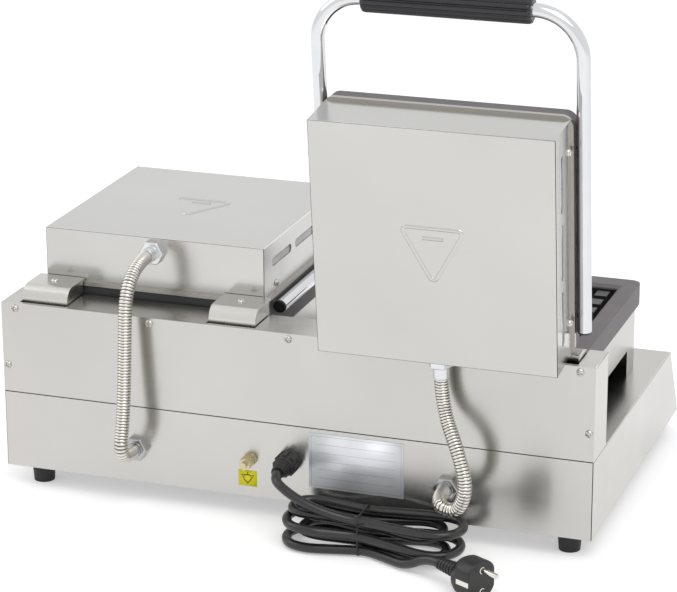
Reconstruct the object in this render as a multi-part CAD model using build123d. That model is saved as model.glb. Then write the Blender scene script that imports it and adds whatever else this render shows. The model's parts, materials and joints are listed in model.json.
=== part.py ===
from build123d import *
import math
import os

# Twin Belgian waffle maker with two hinged lids, seen from the operator's side:
# X runs to the right, Y to the back, Z up. The feet stand on Z = 0.
# Each station has a cast waffle plate on the base and one in its lid.
# The right lid is closed and the left lid is open.

# Body
body_width = 550.0
rear_y = 150.0
sheet = 1.5
running_gap = 0.3
base_bottom_z = 20.0
base_top_z = 92.0
base_top_depth = 296.0
panel_lean = 29.0

# Rear hinge housing
housing_depth = 44.0
deck_z = 177.5
return_lip = 12.0
housing_screw_z = 172.5
housing_side_screw_z = 118.0
housing_screw_inset = 13.5
housing_side_screw_inset = 4.5

# Feet
foot_diameter = 22.0
foot_inset_x = 25.0
foot_inset_y = 24.0
foot_taper = 1.5

# Stations, measured from the rear panel
station_x = 145.5
seam_z = 171.0
plate_width = 215.0
plate_rear = 46.0
plate_depth = 216.0
plate_corner = 10.0
lower_plate_height = 20.0
upper_plate_height = 14.0
lower_cavity = 12.0
upper_cavity = 10.0
rim_side = 17.0
rim_front = 22.0
web_between_halves = 4.0
mouth_flare = 3.0
mouth_depth = 2.5
wall_draft = 1.5
halves = 2
cell_columns = 4
cell_rows = 7
divider_base = 8.0
divider_top = 5.0
groove_base = 5.5
groove_top = 9.5

# Skirt below the lower plate
skirt_inset = 2.0
skirt_front_inset = 17.0
skirt_width = plate_width - 2 * skirt_inset
skirt_front = plate_rear + plate_depth - skirt_front_inset
skirt_ledge = 10.0
window_height = 24.0
window_rear = 70.0
window_front = 220.0
wire_hole = 20.0

# Lid
lid_angle = 96.7
hinge_back = 32.5
hinge_z = 170.0
frame_edge = 0.5
frame_end = 1.0
frame_width = plate_width + 2 * frame_edge
frame_rear = plate_rear - frame_end
frame_depth = plate_depth + 2 * frame_end
frame_height = 4.0
frame_border = 16.0
frame_lip = 12.0
cover_inset = 2.5
cover_rear_inset = 3.4
cover_front_inset = 2.9
cover_width = frame_width - 2 * cover_inset
cover_rear = frame_rear + cover_rear_inset
cover_depth = frame_depth - cover_rear_inset - cover_front_inset
cover_height = 47.0
cover_sheet = 1.2
slot_length = 50.0
slot_height = 8.0
slot_drop = 19.0
slot_pitch = 60.0
slot_first = 94.0
slot_count = 3
lid_screw_drop = 6.0
lid_screw_rear = 80.0
lid_screw_inset = 26.1
lid_screw_front = cover_rear + cover_depth - lid_screw_inset

# Hinge straps and pins
strap_width = 44.0
strap_sheet = 2.5
strap_offset = 90.0
strap_front = 75.0
strap_rear = 8.0
strap_roll = 12.0
strap_tail = 5.0
strap_heel = -60.0
strap_screw_back = 1.5
strap_screw_reach = 6.0
frame_screw_inset = 8.0
knuckle_radius = 11.0
pin_diameter = 8.0
pin_fit = 0.05
bracket_sheet = 3.0
bracket_gap = 0.8
slot_gap = 1.0
slot_rear = 4.3
slot_floor_z = 155.0

# Handle
tube_diameter = 12.0
handle_z = 178.0
handle_reach = 86.0
handle_front = plate_rear + plate_depth + handle_reach
handle_rear = 66.0
handle_bend = 40.0
grip_diameter = 23.5
grip_length = 145.0
grip_flutes = 16
flute_depth = 1.0
plug_depth = 12.0
plug_cap = 2.0
end_bore = 9.0
arm_screw_rear = 79.0
arm_screw_inset = 30.0
arm_screw_front = plate_rear + plate_depth - arm_screw_inset
arm_screw_sink = 4.0
arm_screw_head = 5.5
arm_screw_length = 14.0

# Screws
screw_head = 7.0
screw_head_height = 2.2
screw_shank = 3.0
screw_reach = 7.0

# Heating elements
element_diameter = 8.0
element_gap = 0.2
element_inset = 34.0
element_bend = 16.0

# Steel conduits and their glands
gland_hex = 20.0
gland_hex_height = 7.0
gland_thread = 12.0
gland_sleeve = 13.8
lid_sleeve = 11.0
base_sleeve = 4.0
base_gland_z = 53.0
lid_gland_drop = 13.0
hose_diameter = 12.4
hose_root = 10.8
hose_bore = 8.6
rib_pitch = 8.0

# Control panel
control_height = 37.0
switch_offset = -78.0
thermostat_offset = -24.0
timer_offset = 32.0
lamp_offset = 80.0
knob_diameter = 36.0
knob_height = 17.0
knob_skirt = 4.0
knob_taper = 1.5
knob_gap = 0.6
shaft_diameter = 6.0
control_depth = 22.0
bush_diameter = 10.0
bush_height = 5.0
shaft_tip = 14.0
control_body = 34.0
grip_bar = 10.0
bezel_length = 31.0
bezel_width = 22.0
bezel_edge = 1.8
bezel_height = 2.0
switch_depth = 20.0
rocker_length = 22.0
rocker_width = 14.0
rocker_angle = 8.0
rocker_end_gap = 0.9
rocker_side_gap = 0.4
rocker_pivot = 5.0
rocker_stub = 3.0
lamp_diameter = 9.4
lamp_flange = 12.6
lamp_depth = 16.0

# Bonding terminal and terminal block
terminal_x = 38.0
terminal_z = 54.6
terminal_stud = 6.0
terminal_nut = 10.0
block_width = 46.0
block_depth = 24.0
block_height = 20.0

# Supply cord
cord_diameter = 8.5
cord_gland_z = 58.7
cord_gland_length = 36.0
cord_gland_diameter = 20.0
cord_gland_thread = 14.0
hank_length = 100.0
hank_inner = 16.0
hank_pitch = 10.0
hank_waist = 10.5
hank_layer = 9.0
hank_runs = 9
hank_x = -82.0
hank_behind = 35.0
tie_thickness = 0.8
tie_width = 4.0
relief_length = 22.0
relief_diameter = 14.0
relief_rings = 6
plug_diameter = 36.0
plug_length = 28.0
plug_flat = 30.0
plug_yaw = 28.0
plug_reach = 82.0
plug_side = 31.0
plug_pitch = 19.0
plug_pin = 4.8
plug_pin_length = 19.0
plug_clip_width = 5.0

half_width = body_width / 2
panel_tan = math.tan(math.radians(panel_lean))
panel_cos = math.cos(math.radians(panel_lean))
hinge_y = rear_y - hinge_back
plate_mid_y = rear_y - plate_rear - plate_depth / 2
sides = {"left": -1, "right": 1}
nodes = {}


def span(x0, x1, y0, y1, z0, z1):
    return Pos((x0 + x1) / 2, (y0 + y1) / 2, (z0 + z1) / 2) * Box(x1 - x0, y1 - y0, z1 - z0)


def along_y(x, y, z, radius, length):
    # A cylinder from y towards the back.
    return Pos(x, y + length / 2, z) * Rot(90, 0, 0) * Cylinder(radius, length)


def along_x(x, y, z, radius, length):
    return Pos(x + length / 2, y, z) * Rot(0, 90, 0) * Cylinder(radius, length)


def frustum(width0, depth0, width1, depth1, height):
    # Four-sided block on Z = 0 whose top differs from its foot.
    return loft([Rectangle(width0, depth0), Pos(0, 0, height) * Rectangle(width1, depth1)])


def pan_screw(reach=screw_reach, head=screw_head):
    # Rounded head above Z = 0, shank below.
    button = Pos(0, 0, screw_head_height / 2) * Cone(head / 2, head / 3, screw_head_height)
    return button + Pos(0, 0, -reach / 2) * Cylinder(screw_shank / 2, reach)


def screw_hole(depth=20.0):
    return Cylinder(screw_shank / 2 + running_gap, depth)


def to_back(x, y, z):
    # Places a piece so that its own Z points to the back.
    return Pos(x, y, z) * Rot(-90, 0, 0)


def to_side(x, y, z, side):
    return Pos(x, y, z) * Rot(0, 90 * side, 0)


def solids_of(*shapes):
    return Compound(children=[s for shape in shapes for s in shape.solids()])


def open_lid(shape, side):
    # The left lid stands open about its hinge pin, the right lid is shut.
    if side > 0:
        return shape
    turn = Pos(0, hinge_y, hinge_z) * Rot(-lid_angle, 0, 0) * Pos(0, -hinge_y, -hinge_z)
    return turn * shape


# Base chassis

def slope_y(z, inset=0.0):
    return rear_y - base_top_depth - (base_top_z - z) * panel_tan + inset / panel_cos


def base_profile(inset, drop=0.0):
    bottom = base_bottom_z - drop
    top = base_top_z - inset
    points = [
        (rear_y - inset, bottom),
        (rear_y - inset, top),
        (slope_y(top, inset), top),
        (slope_y(bottom, inset), bottom),
    ]
    return Plane.YZ * make_face(Polyline(*points, close=True))


def panel_place(x, height=control_height):
    # A place on the control panel whose own Z points out of the panel and Y up its slope.
    z = base_bottom_z + height * panel_cos
    y = slope_y(z)
    normal = (0, -panel_cos, math.sin(math.radians(panel_lean)))
    return Plane(origin=(x, y, z), x_dir=(1, 0, 0), z_dir=normal)


def control_places(offset):
    return [panel_place(side * station_x + offset) for side in sides.values()]


def base_chassis():
    shell = extrude(base_profile(0), half_width, both=True)
    shell -= extrude(base_profile(sheet, 1), half_width - sheet, both=True)
    for place in control_places(thermostat_offset) + control_places(timer_offset):
        shell -= place * Cylinder(bush_diameter / 2 + running_gap, 10)
    for place in control_places(lamp_offset):
        shell -= place * Cylinder(lamp_diameter / 2 + running_gap, 10)
    for place in control_places(switch_offset):
        width, length = switch_body_size()
        shell -= place * Box(width + 2 * running_gap, length + 2 * running_gap, 10)
    for side in sides.values():
        x = side * station_x
        shell -= along_y(x, rear_y - 5, base_gland_z, gland_thread / 2 + running_gap, 10)
        shell -= Pos(x, plate_mid_y, base_top_z) * Cylinder(wire_hole / 2, 10)
    shell -= along_y(0, rear_y - 5, cord_gland_z, cord_gland_thread / 2 + running_gap, 10)
    shell -= along_y(terminal_x, rear_y - 5, terminal_z, terminal_stud / 2 + running_gap, 10)
    return shell


def base_floor():
    front = slope_y(base_bottom_z + sheet, sheet) + running_gap
    back = rear_y - sheet - running_gap
    side = half_width - sheet - running_gap
    floor = span(-side, side, front, back, base_bottom_z, base_bottom_z + sheet)
    for x in range(-3, 4):
        for y in (-60, 20):
            floor -= Pos(x * 55, y, base_bottom_z) * Box(36, 6, 10)
    for x, y in foot_places():
        floor -= Pos(x, y, base_bottom_z) * screw_hole()
    return floor


def foot_places():
    front = slope_y(base_bottom_z) + foot_inset_y
    back = rear_y - foot_inset_y
    side = half_width - foot_inset_x
    return [(sx * side, y) for sx in (-1, 1) for y in (front, back)]


def feet():
    radius = foot_diameter / 2
    body = Pos(0, 0, base_bottom_z / 2) * Cone(radius - foot_taper, radius, base_bottom_z)
    body -= Cylinder(foot_diameter / 4, 10)
    body -= screw_hole(base_bottom_z * 3)
    screw = Rot(180, 0, 0) * pan_screw(base_bottom_z - 5 + sheet * 2, screw_head)
    return solids_of(*[Pos(x, y, 0) * body for x, y in foot_places()]), solids_of(
        *[Pos(x, y, 5) * screw for x, y in foot_places()]
    )


# Rear hinge housing

def strap_centres(side):
    mid = side * station_x
    return [mid - strap_offset, mid + strap_offset]


def housing_screws():
    side = half_width - housing_screw_inset
    top = [(x, housing_screw_z) for x in (-side, -side / 2, 0, side / 2, side)]
    edge = half_width - housing_side_screw_inset
    return top + [(-edge, housing_side_screw_z), (edge, housing_side_screw_z)]


def hinge_housing():
    front = rear_y - housing_depth
    back = rear_y - sheet
    box = span(-half_width, half_width, front, back, base_top_z, deck_z)
    inner = half_width - sheet
    box -= span(-inner, inner, front + sheet, back + 1, base_top_z - 1, deck_z - sheet)
    lip = span(-inner, inner, back - sheet, back, base_top_z, deck_z - sheet)
    lip -= span(
        return_lip - inner, inner - return_lip, back - 5, back + 5,
        base_top_z + return_lip, deck_z - sheet - return_lip,
    )
    box += lip
    for side in sides.values():
        for x in strap_centres(side):
            reach = strap_width / 2 + slot_gap
            box -= span(x - reach, x + reach, front - 1, rear_y - slot_rear, deck_z - 5, deck_z + 1)
            box -= span(x - reach, x + reach, front - 1, front + 3, slot_floor_z, deck_z)
    for x, z in housing_screws():
        box -= Pos(x, back, z) * Rot(90, 0, 0) * screw_hole()
    return box


def rear_panel():
    panel = span(
        -half_width, half_width, rear_y - sheet, rear_y, base_top_z + running_gap, deck_z
    )
    for x, z in housing_screws():
        panel -= Pos(x, rear_y, z) * Rot(90, 0, 0) * screw_hole()
    return panel


def hinge_brackets():
    plates = []
    for side in sides.values():
        for x in strap_centres(side):
            for edge in (-1, 1):
                start = x + edge * (strap_width / 2 + bracket_gap)
                x0, x1 = sorted((start, start + edge * bracket_sheet))
                top = deck_z - sheet
                front = rear_y - housing_depth + sheet
                plate = span(x0, x1, front, hinge_y + knuckle_radius + 3, hinge_z - 13, top)
                plate -= along_x(x0 - 1, hinge_y, hinge_z, pin_diameter / 2, bracket_sheet + 2)
                plates.append(plate)
    return solids_of(*plates)


def hinge_pin(side):
    low, high = strap_centres(side)
    reach = strap_width / 2 + bracket_gap + bracket_sheet + 2
    pin = along_x(low - reach, hinge_y, hinge_z, pin_diameter / 2, high - low + 2 * reach)
    return chamfer(pin.edges().filter_by(GeomType.CIRCLE), 0.6)


# Lower station

def station_box(width, rear, depth, z0, z1, corner):
    block = Pos(0, rear_y - rear - depth / 2, z0) * extrude(
        RectangleRounded(width, depth, corner), z1 - z0
    )
    return block


def lower_skirt():
    front = rear_y - skirt_front
    back = rear_y - housing_depth - running_gap
    side = skirt_width / 2
    top = seam_z - running_gap - lower_plate_height
    skirt = span(-side, side, front, back, base_top_z, top)
    skirt -= span(
        sheet - side, side - sheet, front + sheet, back - sheet, base_top_z - 1, top - sheet
    )
    ledge = sheet + skirt_ledge
    skirt -= span(ledge - side, side - ledge, front + ledge, back - ledge, top - 5, top + 1)
    skirt -= span(
        -side - 1, side + 1, rear_y - window_front, rear_y - window_rear,
        base_top_z - 1, base_top_z + window_height,
    )
    return skirt


def waffle_plate(height, cavity):
    # A cast plate with its baking face up at Z = height and its middle at the origin.
    block = extrude(RectangleRounded(plate_width, plate_depth, plate_corner), height)
    width = plate_width - 2 * rim_side
    depth = plate_depth - 2 * rim_front
    floor = height - cavity
    draft = 2 * wall_draft
    well = Pos(0, 0, floor) * frustum(width - draft, depth - draft, width, depth, cavity)
    mouth = Pos(0, 0, height - mouth_depth) * frustum(
        width, depth, width + 2 * mouth_flare, depth + 2 * mouth_flare, mouth_depth
    )
    block -= [well, mouth]
    stud_height = cavity - web_between_halves
    half = (width - draft - divider_base) / halves
    pitch_x = half / cell_columns
    pitch_y = (depth - draft) / cell_rows
    stud = frustum(
        pitch_x - groove_base, pitch_y - groove_base,
        pitch_x - groove_top, pitch_y - groove_top, stud_height,
    )
    pieces = []
    for row in range(cell_rows):
        y = (row - (cell_rows - 1) / 2) * pitch_y
        for column in range(cell_columns):
            x = divider_base / 2 + (column + 0.5) * pitch_x
            pieces += [Pos(x, y, floor) * stud, Pos(-x, y, floor) * stud]
    ridge = frustum(divider_base, depth, divider_top, depth, cavity - 0.5)
    pieces.append(Pos(0, 0, floor) * ridge)
    return block.fuse(*pieces)


def element(z):
    # A tubular heater bent to a U in a level plane, its ends to the back.
    side = plate_width / 2 - element_inset
    near = plate_depth / 2 - element_inset
    points = [(-side, near), (-side, -near), (side, -near), (side, near)]
    path = FilletPolyline(*[Vector(x, y, 0) for x, y in points], radius=element_bend)
    start = Plane(origin=(-side, near, 0), z_dir=(0, -1, 0))
    rod = sweep(start * Circle(element_diameter / 2), path=path)
    return Pos(0, plate_mid_y, z) * rod


# Lid, drawn shut about the middle of its station

def lid_frame():
    z0 = seam_z + upper_plate_height
    frame = station_box(frame_width, frame_rear, frame_depth, z0, z0 + frame_height, plate_corner)
    inner_width = frame_width - 2 * frame_border
    inner_depth = frame_depth - 2 * frame_border
    middle = rear_y - frame_rear - frame_depth / 2
    frame -= Pos(0, middle, z0) * Box(inner_width, inner_depth, 20)
    lip_out = cover_width / 2 - cover_sheet - 0.2
    for side in (-1, 1):
        x0, x1 = sorted((side * lip_out, side * (lip_out - sheet)))
        lip = span(
            x0, x1, rear_y - lid_screw_front - 12, rear_y - strap_front - running_gap,
            z0 + frame_height, z0 + frame_height + frame_lip,
        )
        for back in (lid_screw_rear, lid_screw_front):
            z = z0 + frame_height + lid_screw_drop
            lip -= Pos(x0, rear_y - back, z) * Rot(0, 90, 0) * screw_hole()
        frame += lip
    for x in (-strap_offset, strap_offset):
        frame -= Pos(x, rear_y - strap_front + frame_screw_inset, z0) * screw_hole(40)
    return frame


def lid_cover():
    z0 = seam_z + upper_plate_height + frame_height
    z1 = z0 + cover_height
    side = cover_width / 2
    back = rear_y - cover_rear
    front = back - cover_depth
    cover = span(-side, side, front, back, z0, z1)
    t = cover_sheet
    cover -= span(t - side, side - t, front + t, back - t, z0 - 1, z1 - t)
    slot = extrude(SlotOverall(slot_length, slot_height), cover_width)
    slot = Rot(0, 0, 90) * Rot(90, 0, 0) * Pos(0, 0, -cover_width / 2) * slot
    for count in range(slot_count):
        y = rear_y - slot_first - count * slot_pitch
        cover -= Pos(0, y, z1 - slot_drop) * slot
    for mirrored in (-1, 1):
        near = mirrored * (strap_offset - strap_width / 2 - running_gap)
        x0, x1 = sorted((near, mirrored * (tongue_limit() + running_gap)))
        cover -= span(x0, x1, back - 5, back + 1, z0 - 1, z0 + strap_sheet + running_gap)
    for back_off in (lid_screw_rear, lid_screw_front):
        z = z0 + lid_screw_drop
        cover -= Pos(0, rear_y - back_off, z) * Rot(0, 90, 0) * screw_hole(cover_width + 10)
    cover -= along_y(0, back - 5, z1 - lid_gland_drop, gland_thread / 2 + running_gap, 10)
    return cover


def strap_face():
    # Side view of a strap about the hinge axis: Y to the back, Z up.
    top = strap_top()
    back = hinge_back - strap_rear
    front = hinge_back - strap_front
    heel = math.radians(strap_heel)
    nose = knuckle_radius
    touch = (nose * math.cos(heel), nose * math.sin(heel))
    below = (-nose * math.sin(math.pi / 4), -nose * math.cos(math.pi / 4))
    line = Polyline(
        touch, (back, -strap_tail), (back, top), (front, top),
        (front, top - strap_sheet), (-nose, top - strap_sheet), (-nose, 0),
    )
    arc = ThreePointArc((-nose, 0), below, touch)
    return make_face([*line.edges(), *arc.edges()])


def strap_top():
    return seam_z + upper_plate_height + frame_height + strap_sheet - hinge_z


def rolled(face, radius):
    # Rounds the corner of a side view that lies furthest up and back.
    corner = face.vertices().sort_by(lambda v: v.Y + v.Z)[-1]
    return fillet(corner, radius)


def tongue_limit():
    # How far from the middle of the lid a strap may reach inside the cover.
    return cover_width / 2 - cover_sheet - running_gap


def cover_clear():
    # The place just behind the cover, from the hinge axis.
    return hinge_back - cover_rear + running_gap


def hinge_strap(x):
    back = hinge_back - strap_rear - strap_sheet
    nose = knuckle_radius
    inner_width = strap_width / 2 - strap_sheet
    low = -2 * knuckle_radius
    top = strap_top() - strap_sheet
    room = Plane.YZ * make_face(
        Polyline((-nose - 1, low), (back, low), (back, top), (-nose - 1, top), close=True)
    )
    outer = extrude(rolled(Plane.YZ * strap_face(), strap_roll), strap_width / 2, both=True)
    strap = outer - extrude(rolled(room, strap_roll - strap_sheet), inner_width, both=True)
    beyond = tongue_limit() - strap_offset
    outboard = span(beyond, strap_width, -100, cover_clear(), top - 5, top + 2 * strap_sheet)
    strap -= outboard if x > 0 else mirror(outboard, about=Plane.YZ)
    strap -= along_x(-strap_width, 0, 0, pin_diameter / 2 + running_gap, 2 * strap_width)
    strap -= Pos(0, strap_screw_back, top) * screw_hole()
    strap -= Pos(0, hinge_back - strap_front + frame_screw_inset, top) * screw_hole()
    return Pos(x, hinge_y, hinge_z) * strap


def hinge_knuckle(x):
    # The bearing block inside a strap, bored for the hinge pin.
    top = strap_top() - strap_sheet
    side = strap_width / 2 - strap_sheet - 0.2
    outline = Circle(knuckle_radius) + Pos(0, top / 2) * Rectangle(2 * knuckle_radius, top)
    block = extrude(Plane.YZ * outline, side, both=True)
    block -= along_x(-strap_width, 0, 0, pin_diameter / 2 + pin_fit, 2 * strap_width)
    block -= Pos(0, strap_screw_back, top) * screw_hole(2 * strap_screw_reach + 1)
    return Pos(x, hinge_y, hinge_z) * block


def lid_screws():
    z0 = seam_z + upper_plate_height + frame_height
    screws = []
    for back in (lid_screw_rear, lid_screw_front):
        for side in (-1, 1):
            place = to_side(side * cover_width / 2, rear_y - back, z0 + lid_screw_drop, side)
            screws.append(place * pan_screw())
    strap_z = z0 + strap_sheet
    for x in (-strap_offset, strap_offset):
        screws.append(Pos(x, hinge_y + strap_screw_back, strap_z) * pan_screw(strap_screw_reach))
        front = rear_y - strap_front + frame_screw_inset
        screws.append(Pos(x, front, strap_z) * pan_screw(strap_screw_reach))
    return solids_of(*screws)


# Handle

def handle_offset():
    return plate_width / 2 + running_gap + tube_diameter / 2


def handle_screws():
    seat = handle_offset() + tube_diameter / 2 - arm_screw_sink
    screws = []
    for back in (arm_screw_rear, arm_screw_front):
        for side in (-1, 1):
            place = to_side(side * seat, rear_y - back, handle_z, side)
            screws.append(place * pan_screw(arm_screw_length, arm_screw_head))
    return solids_of(*screws)


def drill_arms(shape, radius, depth, seat):
    # Cross holes for the handle screws, from seat inwards.
    for back in (arm_screw_rear, arm_screw_front):
        for side in (-1, 1):
            x = side * (seat - depth / 2)
            hole = Rot(0, 90, 0) * Cylinder(radius, depth)
            shape -= Pos(x, rear_y - back, handle_z) * hole
    return shape


def handle_tube():
    side = handle_offset()
    rear = rear_y - handle_rear
    front = rear_y - handle_front
    corners = [(-side, rear), (-side, front), (side, front), (side, rear)]
    path = FilletPolyline(*[Vector(x, y, 0) for x, y in corners], radius=handle_bend)
    start = Plane(origin=(-side, rear, 0), z_dir=(0, -1, 0))
    tube = Pos(0, 0, handle_z) * sweep(start * Circle(tube_diameter / 2), path=path)
    for x in (-side, side):
        tube -= along_y(x, rear - plug_depth, handle_z, end_bore / 2, plug_depth + 1)
    outside = side + tube_diameter / 2
    shank = screw_shank / 2 + running_gap
    tube = drill_arms(tube, arm_screw_head / 2 + running_gap, arm_screw_sink, outside)
    return drill_arms(tube, shank, 2 * tube_diameter, outside)


def end_plugs():
    plugs = []
    for side in (-1, 1):
        x = side * handle_offset()
        rear = rear_y - handle_rear
        stem = along_y(x, rear - plug_depth + 2, handle_z, end_bore / 2 - 0.15, plug_depth - 2)
        cap = along_y(x, rear, handle_z, tube_diameter / 2, plug_cap)
        plugs.append(stem + fillet(cap.edges().group_by(Axis.Y)[-1], plug_cap * 0.7))
    return solids_of(*plugs)


def handle_grip():
    radius = grip_diameter / 2
    outline = Circle(radius)
    flute = radius * math.sin(math.pi / grip_flutes) * 0.8
    outline -= PolarLocations(radius + flute - flute_depth, grip_flutes) * Circle(flute)
    outline -= Circle(tube_diameter / 2 + 0.15)
    grip = extrude(Plane.YZ * outline, grip_length / 2, both=True)
    return Pos(0, rear_y - handle_front, handle_z) * grip


# Glands, conduits and cord

def hex_gland(sleeve, thread):
    # Threaded stub below Z = 0, hexagon and smooth sleeve above.
    body = extrude(RegularPolygon(gland_hex / 2, 6, major_radius=False), gland_hex_height)
    body = chamfer(body.edges().group_by(Axis.Z)[-1], 0.8)
    body += Pos(0, 0, -thread / 2) * Cylinder(gland_thread / 2, thread)
    body += Pos(0, 0, gland_hex_height + sleeve / 2) * Cylinder(gland_sleeve / 2, sleeve)
    return body - Cylinder(hose_bore / 2, 100)


def lid_gland():
    z = seam_z + upper_plate_height + frame_height + cover_height - lid_gland_drop
    return to_back(0, rear_y - cover_rear, z) * hex_gland(lid_sleeve, 6)


def base_gland(side):
    return to_back(side * station_x, rear_y, base_gland_z) * hex_gland(base_sleeve, 6)


def lid_hose_end(side):
    # Where a conduit leaves its lid, and the way it points.
    z = seam_z + upper_plate_height + frame_height + cover_height - lid_gland_drop
    y = rear_y - cover_rear + gland_hex_height + lid_sleeve
    x = side * station_x
    if side > 0:
        return Vector(x, y, z), Vector(0, 1, 0)
    angle = math.radians(lid_angle)
    dy, dz = y - hinge_y, z - hinge_z
    turned_y = math.cos(angle) * dy + math.sin(angle) * dz
    turned_z = math.cos(angle) * dz - math.sin(angle) * dy
    way = Vector(0, math.cos(angle), -math.sin(angle))
    return Vector(x, hinge_y + turned_y, hinge_z + turned_z), way


def hose_route(side):
    # Corner points from the lid's gland to the base's gland.
    start, way = lid_hose_end(side)
    x = side * station_x
    end = Vector(x, rear_y + gland_hex_height + base_sleeve, base_gland_z)
    if side > 0:
        middle = [
            start + way * 46,
            Vector(x - 1, rear_y + 25, 142),
            end + Vector(0, 30, 0),
        ]
    else:
        middle = [
            start + way * 28,
            Vector(x - 22, rear_y + 39, 101),
            Vector(x - 31, rear_y + 44, 72),
            Vector(x - 22, rear_y + 42, 48),
            end + Vector(0, 27, 0),
        ]
    return [start, *middle, end]


def bend_radii(points, share=0.45):
    # The largest arc at each corner that leaves both of its runs a straight middle.
    radii = []
    for before, here, after in zip(points, points[1:], points[2:]):
        run_in, run_out = here - before, after - here
        turn = math.radians(run_in.get_angle(run_out))
        radii.append(share * min(run_in.length, run_out.length) / math.tan(turn / 2))
    return radii


def smooth_path(name, points):
    radii = bend_radii(points)
    print(name, "bend radii", [round(r, 1) for r in radii])
    return FilletPolyline(*points, radius=radii)


def conduit(side):
    # Ribbed steel hose: each rib is a ruled loft through four circles, then the bore is cut.
    path = smooth_path("conduit", hose_route(side))
    length = path.length
    root, crest = hose_root / 2, hose_diameter / 2
    plain = hose_diameter / 2
    ribs = int((length - 2 * plain) / rib_pitch)
    pitch = (length - 2 * plain) / ribs
    steps = [(0, root)]
    for rib in range(ribs):
        start = plain + rib * pitch
        shares = ((0.08, root), (0.30, crest), (0.70, crest), (0.92, root))
        steps += [(start + share * pitch, radius) for share, radius in shares]
    steps.append((length, root))
    rings = []
    for along, radius in steps:
        place = along / length
        plane = Plane(origin=path @ place, x_dir=(1, 0, 0), z_dir=path % place)
        rings.append(plane * Circle(radius))
    hose = loft(rings, ruled=True)
    start = Plane(origin=path @ 0, x_dir=(1, 0, 0), z_dir=path % 0)
    bore = sweep(start * Circle(hose_bore / 2), path=path)
    print("conduit length", round(length), "ribs", ribs, "pitch", round(pitch, 2))
    return hose - bore


# Controls

def switch_body_size():
    width = rocker_width + 2 * rocker_side_gap + 2 * bezel_edge
    length = rocker_length + 2 * rocker_end_gap + 2 * bezel_edge
    return width, length


def rotary_body():
    # Control body behind the panel, its bush through the panel, bored for the shaft.
    behind = sheet + running_gap
    body = Pos(0, 0, -behind - control_depth / 2) * Box(control_body, control_body, control_depth)
    body = chamfer(body.edges().filter_by(Axis.Z), 4)
    bush_total = behind + bush_height - 2
    body += Pos(0, 0, bush_total / 2 - behind) * Cylinder(bush_diameter / 2, bush_total)
    return body - Cylinder(shaft_diameter / 2 + pin_fit, 2 * control_depth)


def control_knob(place):
    # Moulded knob with a grip bar, on the shaft that it turns.
    outer = knob_diameter / 2
    skirt = Pos(0, 0, knob_gap + knob_skirt / 2) * Cone(outer, outer - knob_taper, knob_skirt)
    bar = Pos(0, 0, knob_gap + knob_height / 2) * Box(grip_bar, knob_diameter, knob_height)
    bar &= Pos(0, 0, knob_gap + knob_height / 2) * Cylinder(outer - knob_taper, knob_height)
    bar = fillet(bar.edges().group_by(Axis.Z)[-1], knob_taper)
    knob = skirt + bar
    knob -= Pos(0, 0, knob_gap) * Cylinder(bush_diameter / 2 + 3, 2 * bush_height)
    knob -= Pos(0, 0, knob_gap + shaft_tip / 2) * Cylinder(shaft_diameter / 2 + 0.15, shaft_tip)
    tail = control_depth * 0.7
    shaft = Pos(0, 0, (shaft_tip - tail) / 2) * Cylinder(shaft_diameter / 2, shaft_tip + tail)
    return solids_of(place * knob, place * shaft)


def switch_body():
    width, length = switch_body_size()
    body = Pos(0, 0, -switch_depth / 2) * Box(width, length, switch_depth)
    body += Pos(0, 0, bezel_height / 2) * Box(bezel_width, bezel_length, bezel_height)
    body = chamfer(body.edges().group_by(Axis.Z)[-1], 1)
    room = 2 * (bezel_height + rocker_pivot + rocker_stub)
    body -= Pos(0, 0, bezel_height) * Box(
        rocker_width + 2 * rocker_side_gap, rocker_length + 2 * rocker_end_gap, room
    )
    pivot = along_x(-width / 2 - 1, 0, bezel_height - rocker_pivot, rocker_stub / 2 + 0.06, width + 2)
    return body - pivot


def rocker(place):
    end = rocker_length / 2
    top = rocker_pivot
    outline = make_face(Polyline(
        (-end, top), (0, top - 1.2), (end, top), (end - 1, 0), (0, -rocker_stub), (1 - end, 0),
        close=True,
    ))
    key = extrude(Plane.YZ * outline, rocker_width / 2, both=True)
    reach = rocker_width / 2 + rocker_side_gap + bezel_edge * 0.7
    key += along_x(-reach, 0, 0, rocker_stub / 2, 2 * reach)
    return place * Pos(0, 0, bezel_height - rocker_pivot) * Rot(-rocker_angle, 0, 0) * key


def pilot_lamp():
    dome = Cylinder(lamp_diameter / 2 - 0.5, 4)
    dome = Pos(0, 0, 3) * fillet(dome.edges().group_by(Axis.Z)[-1], 2.5)
    flange = Pos(0, 0, 0.6) * Cylinder(lamp_flange / 2, 1.2)
    return dome + flange + Pos(0, 0, -lamp_depth / 2) * Cylinder(lamp_diameter / 2, lamp_depth)


# Supply and bonding

def bonding_terminal():
    nut = terminal_nut / 2
    body = Pos(0, 0, 3) * Cylinder(terminal_stud / 2, 26)
    body += Pos(0, 0, 0.6) * Cylinder(nut + 1.5, 1.2)
    body += Pos(0, 0, 1.2) * extrude(RegularPolygon(nut, 6, major_radius=False), 5)
    body += Pos(0, 0, 6.8) * Cylinder(nut + 1, 1.2)
    body += Pos(0, 0, 7.4) * Rot(0, 0, 20) * extrude(RegularPolygon(nut, 6, major_radius=False), 4.5)
    body += Pos(0, 0, -sheet - 5) * extrude(RegularPolygon(nut, 6, major_radius=False), 5)
    return to_back(terminal_x, rear_y, terminal_z) * body


def terminal_block():
    z = base_bottom_z + sheet
    block = Pos(0, 0, z + block_height / 2) * Box(block_width, block_depth, block_height)
    for pole in range(-1, 2):
        x = pole * block_width / 3.4
        block -= Pos(x, 0, z + block_height) * Cylinder(3.5, 14)
        block -= Pos(x, 0, z + block_height * 0.35) * Rot(90, 0, 0) * Cylinder(2.5, block_depth + 2)
    return Pos(0, rear_y - 52, 0) * block


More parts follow.
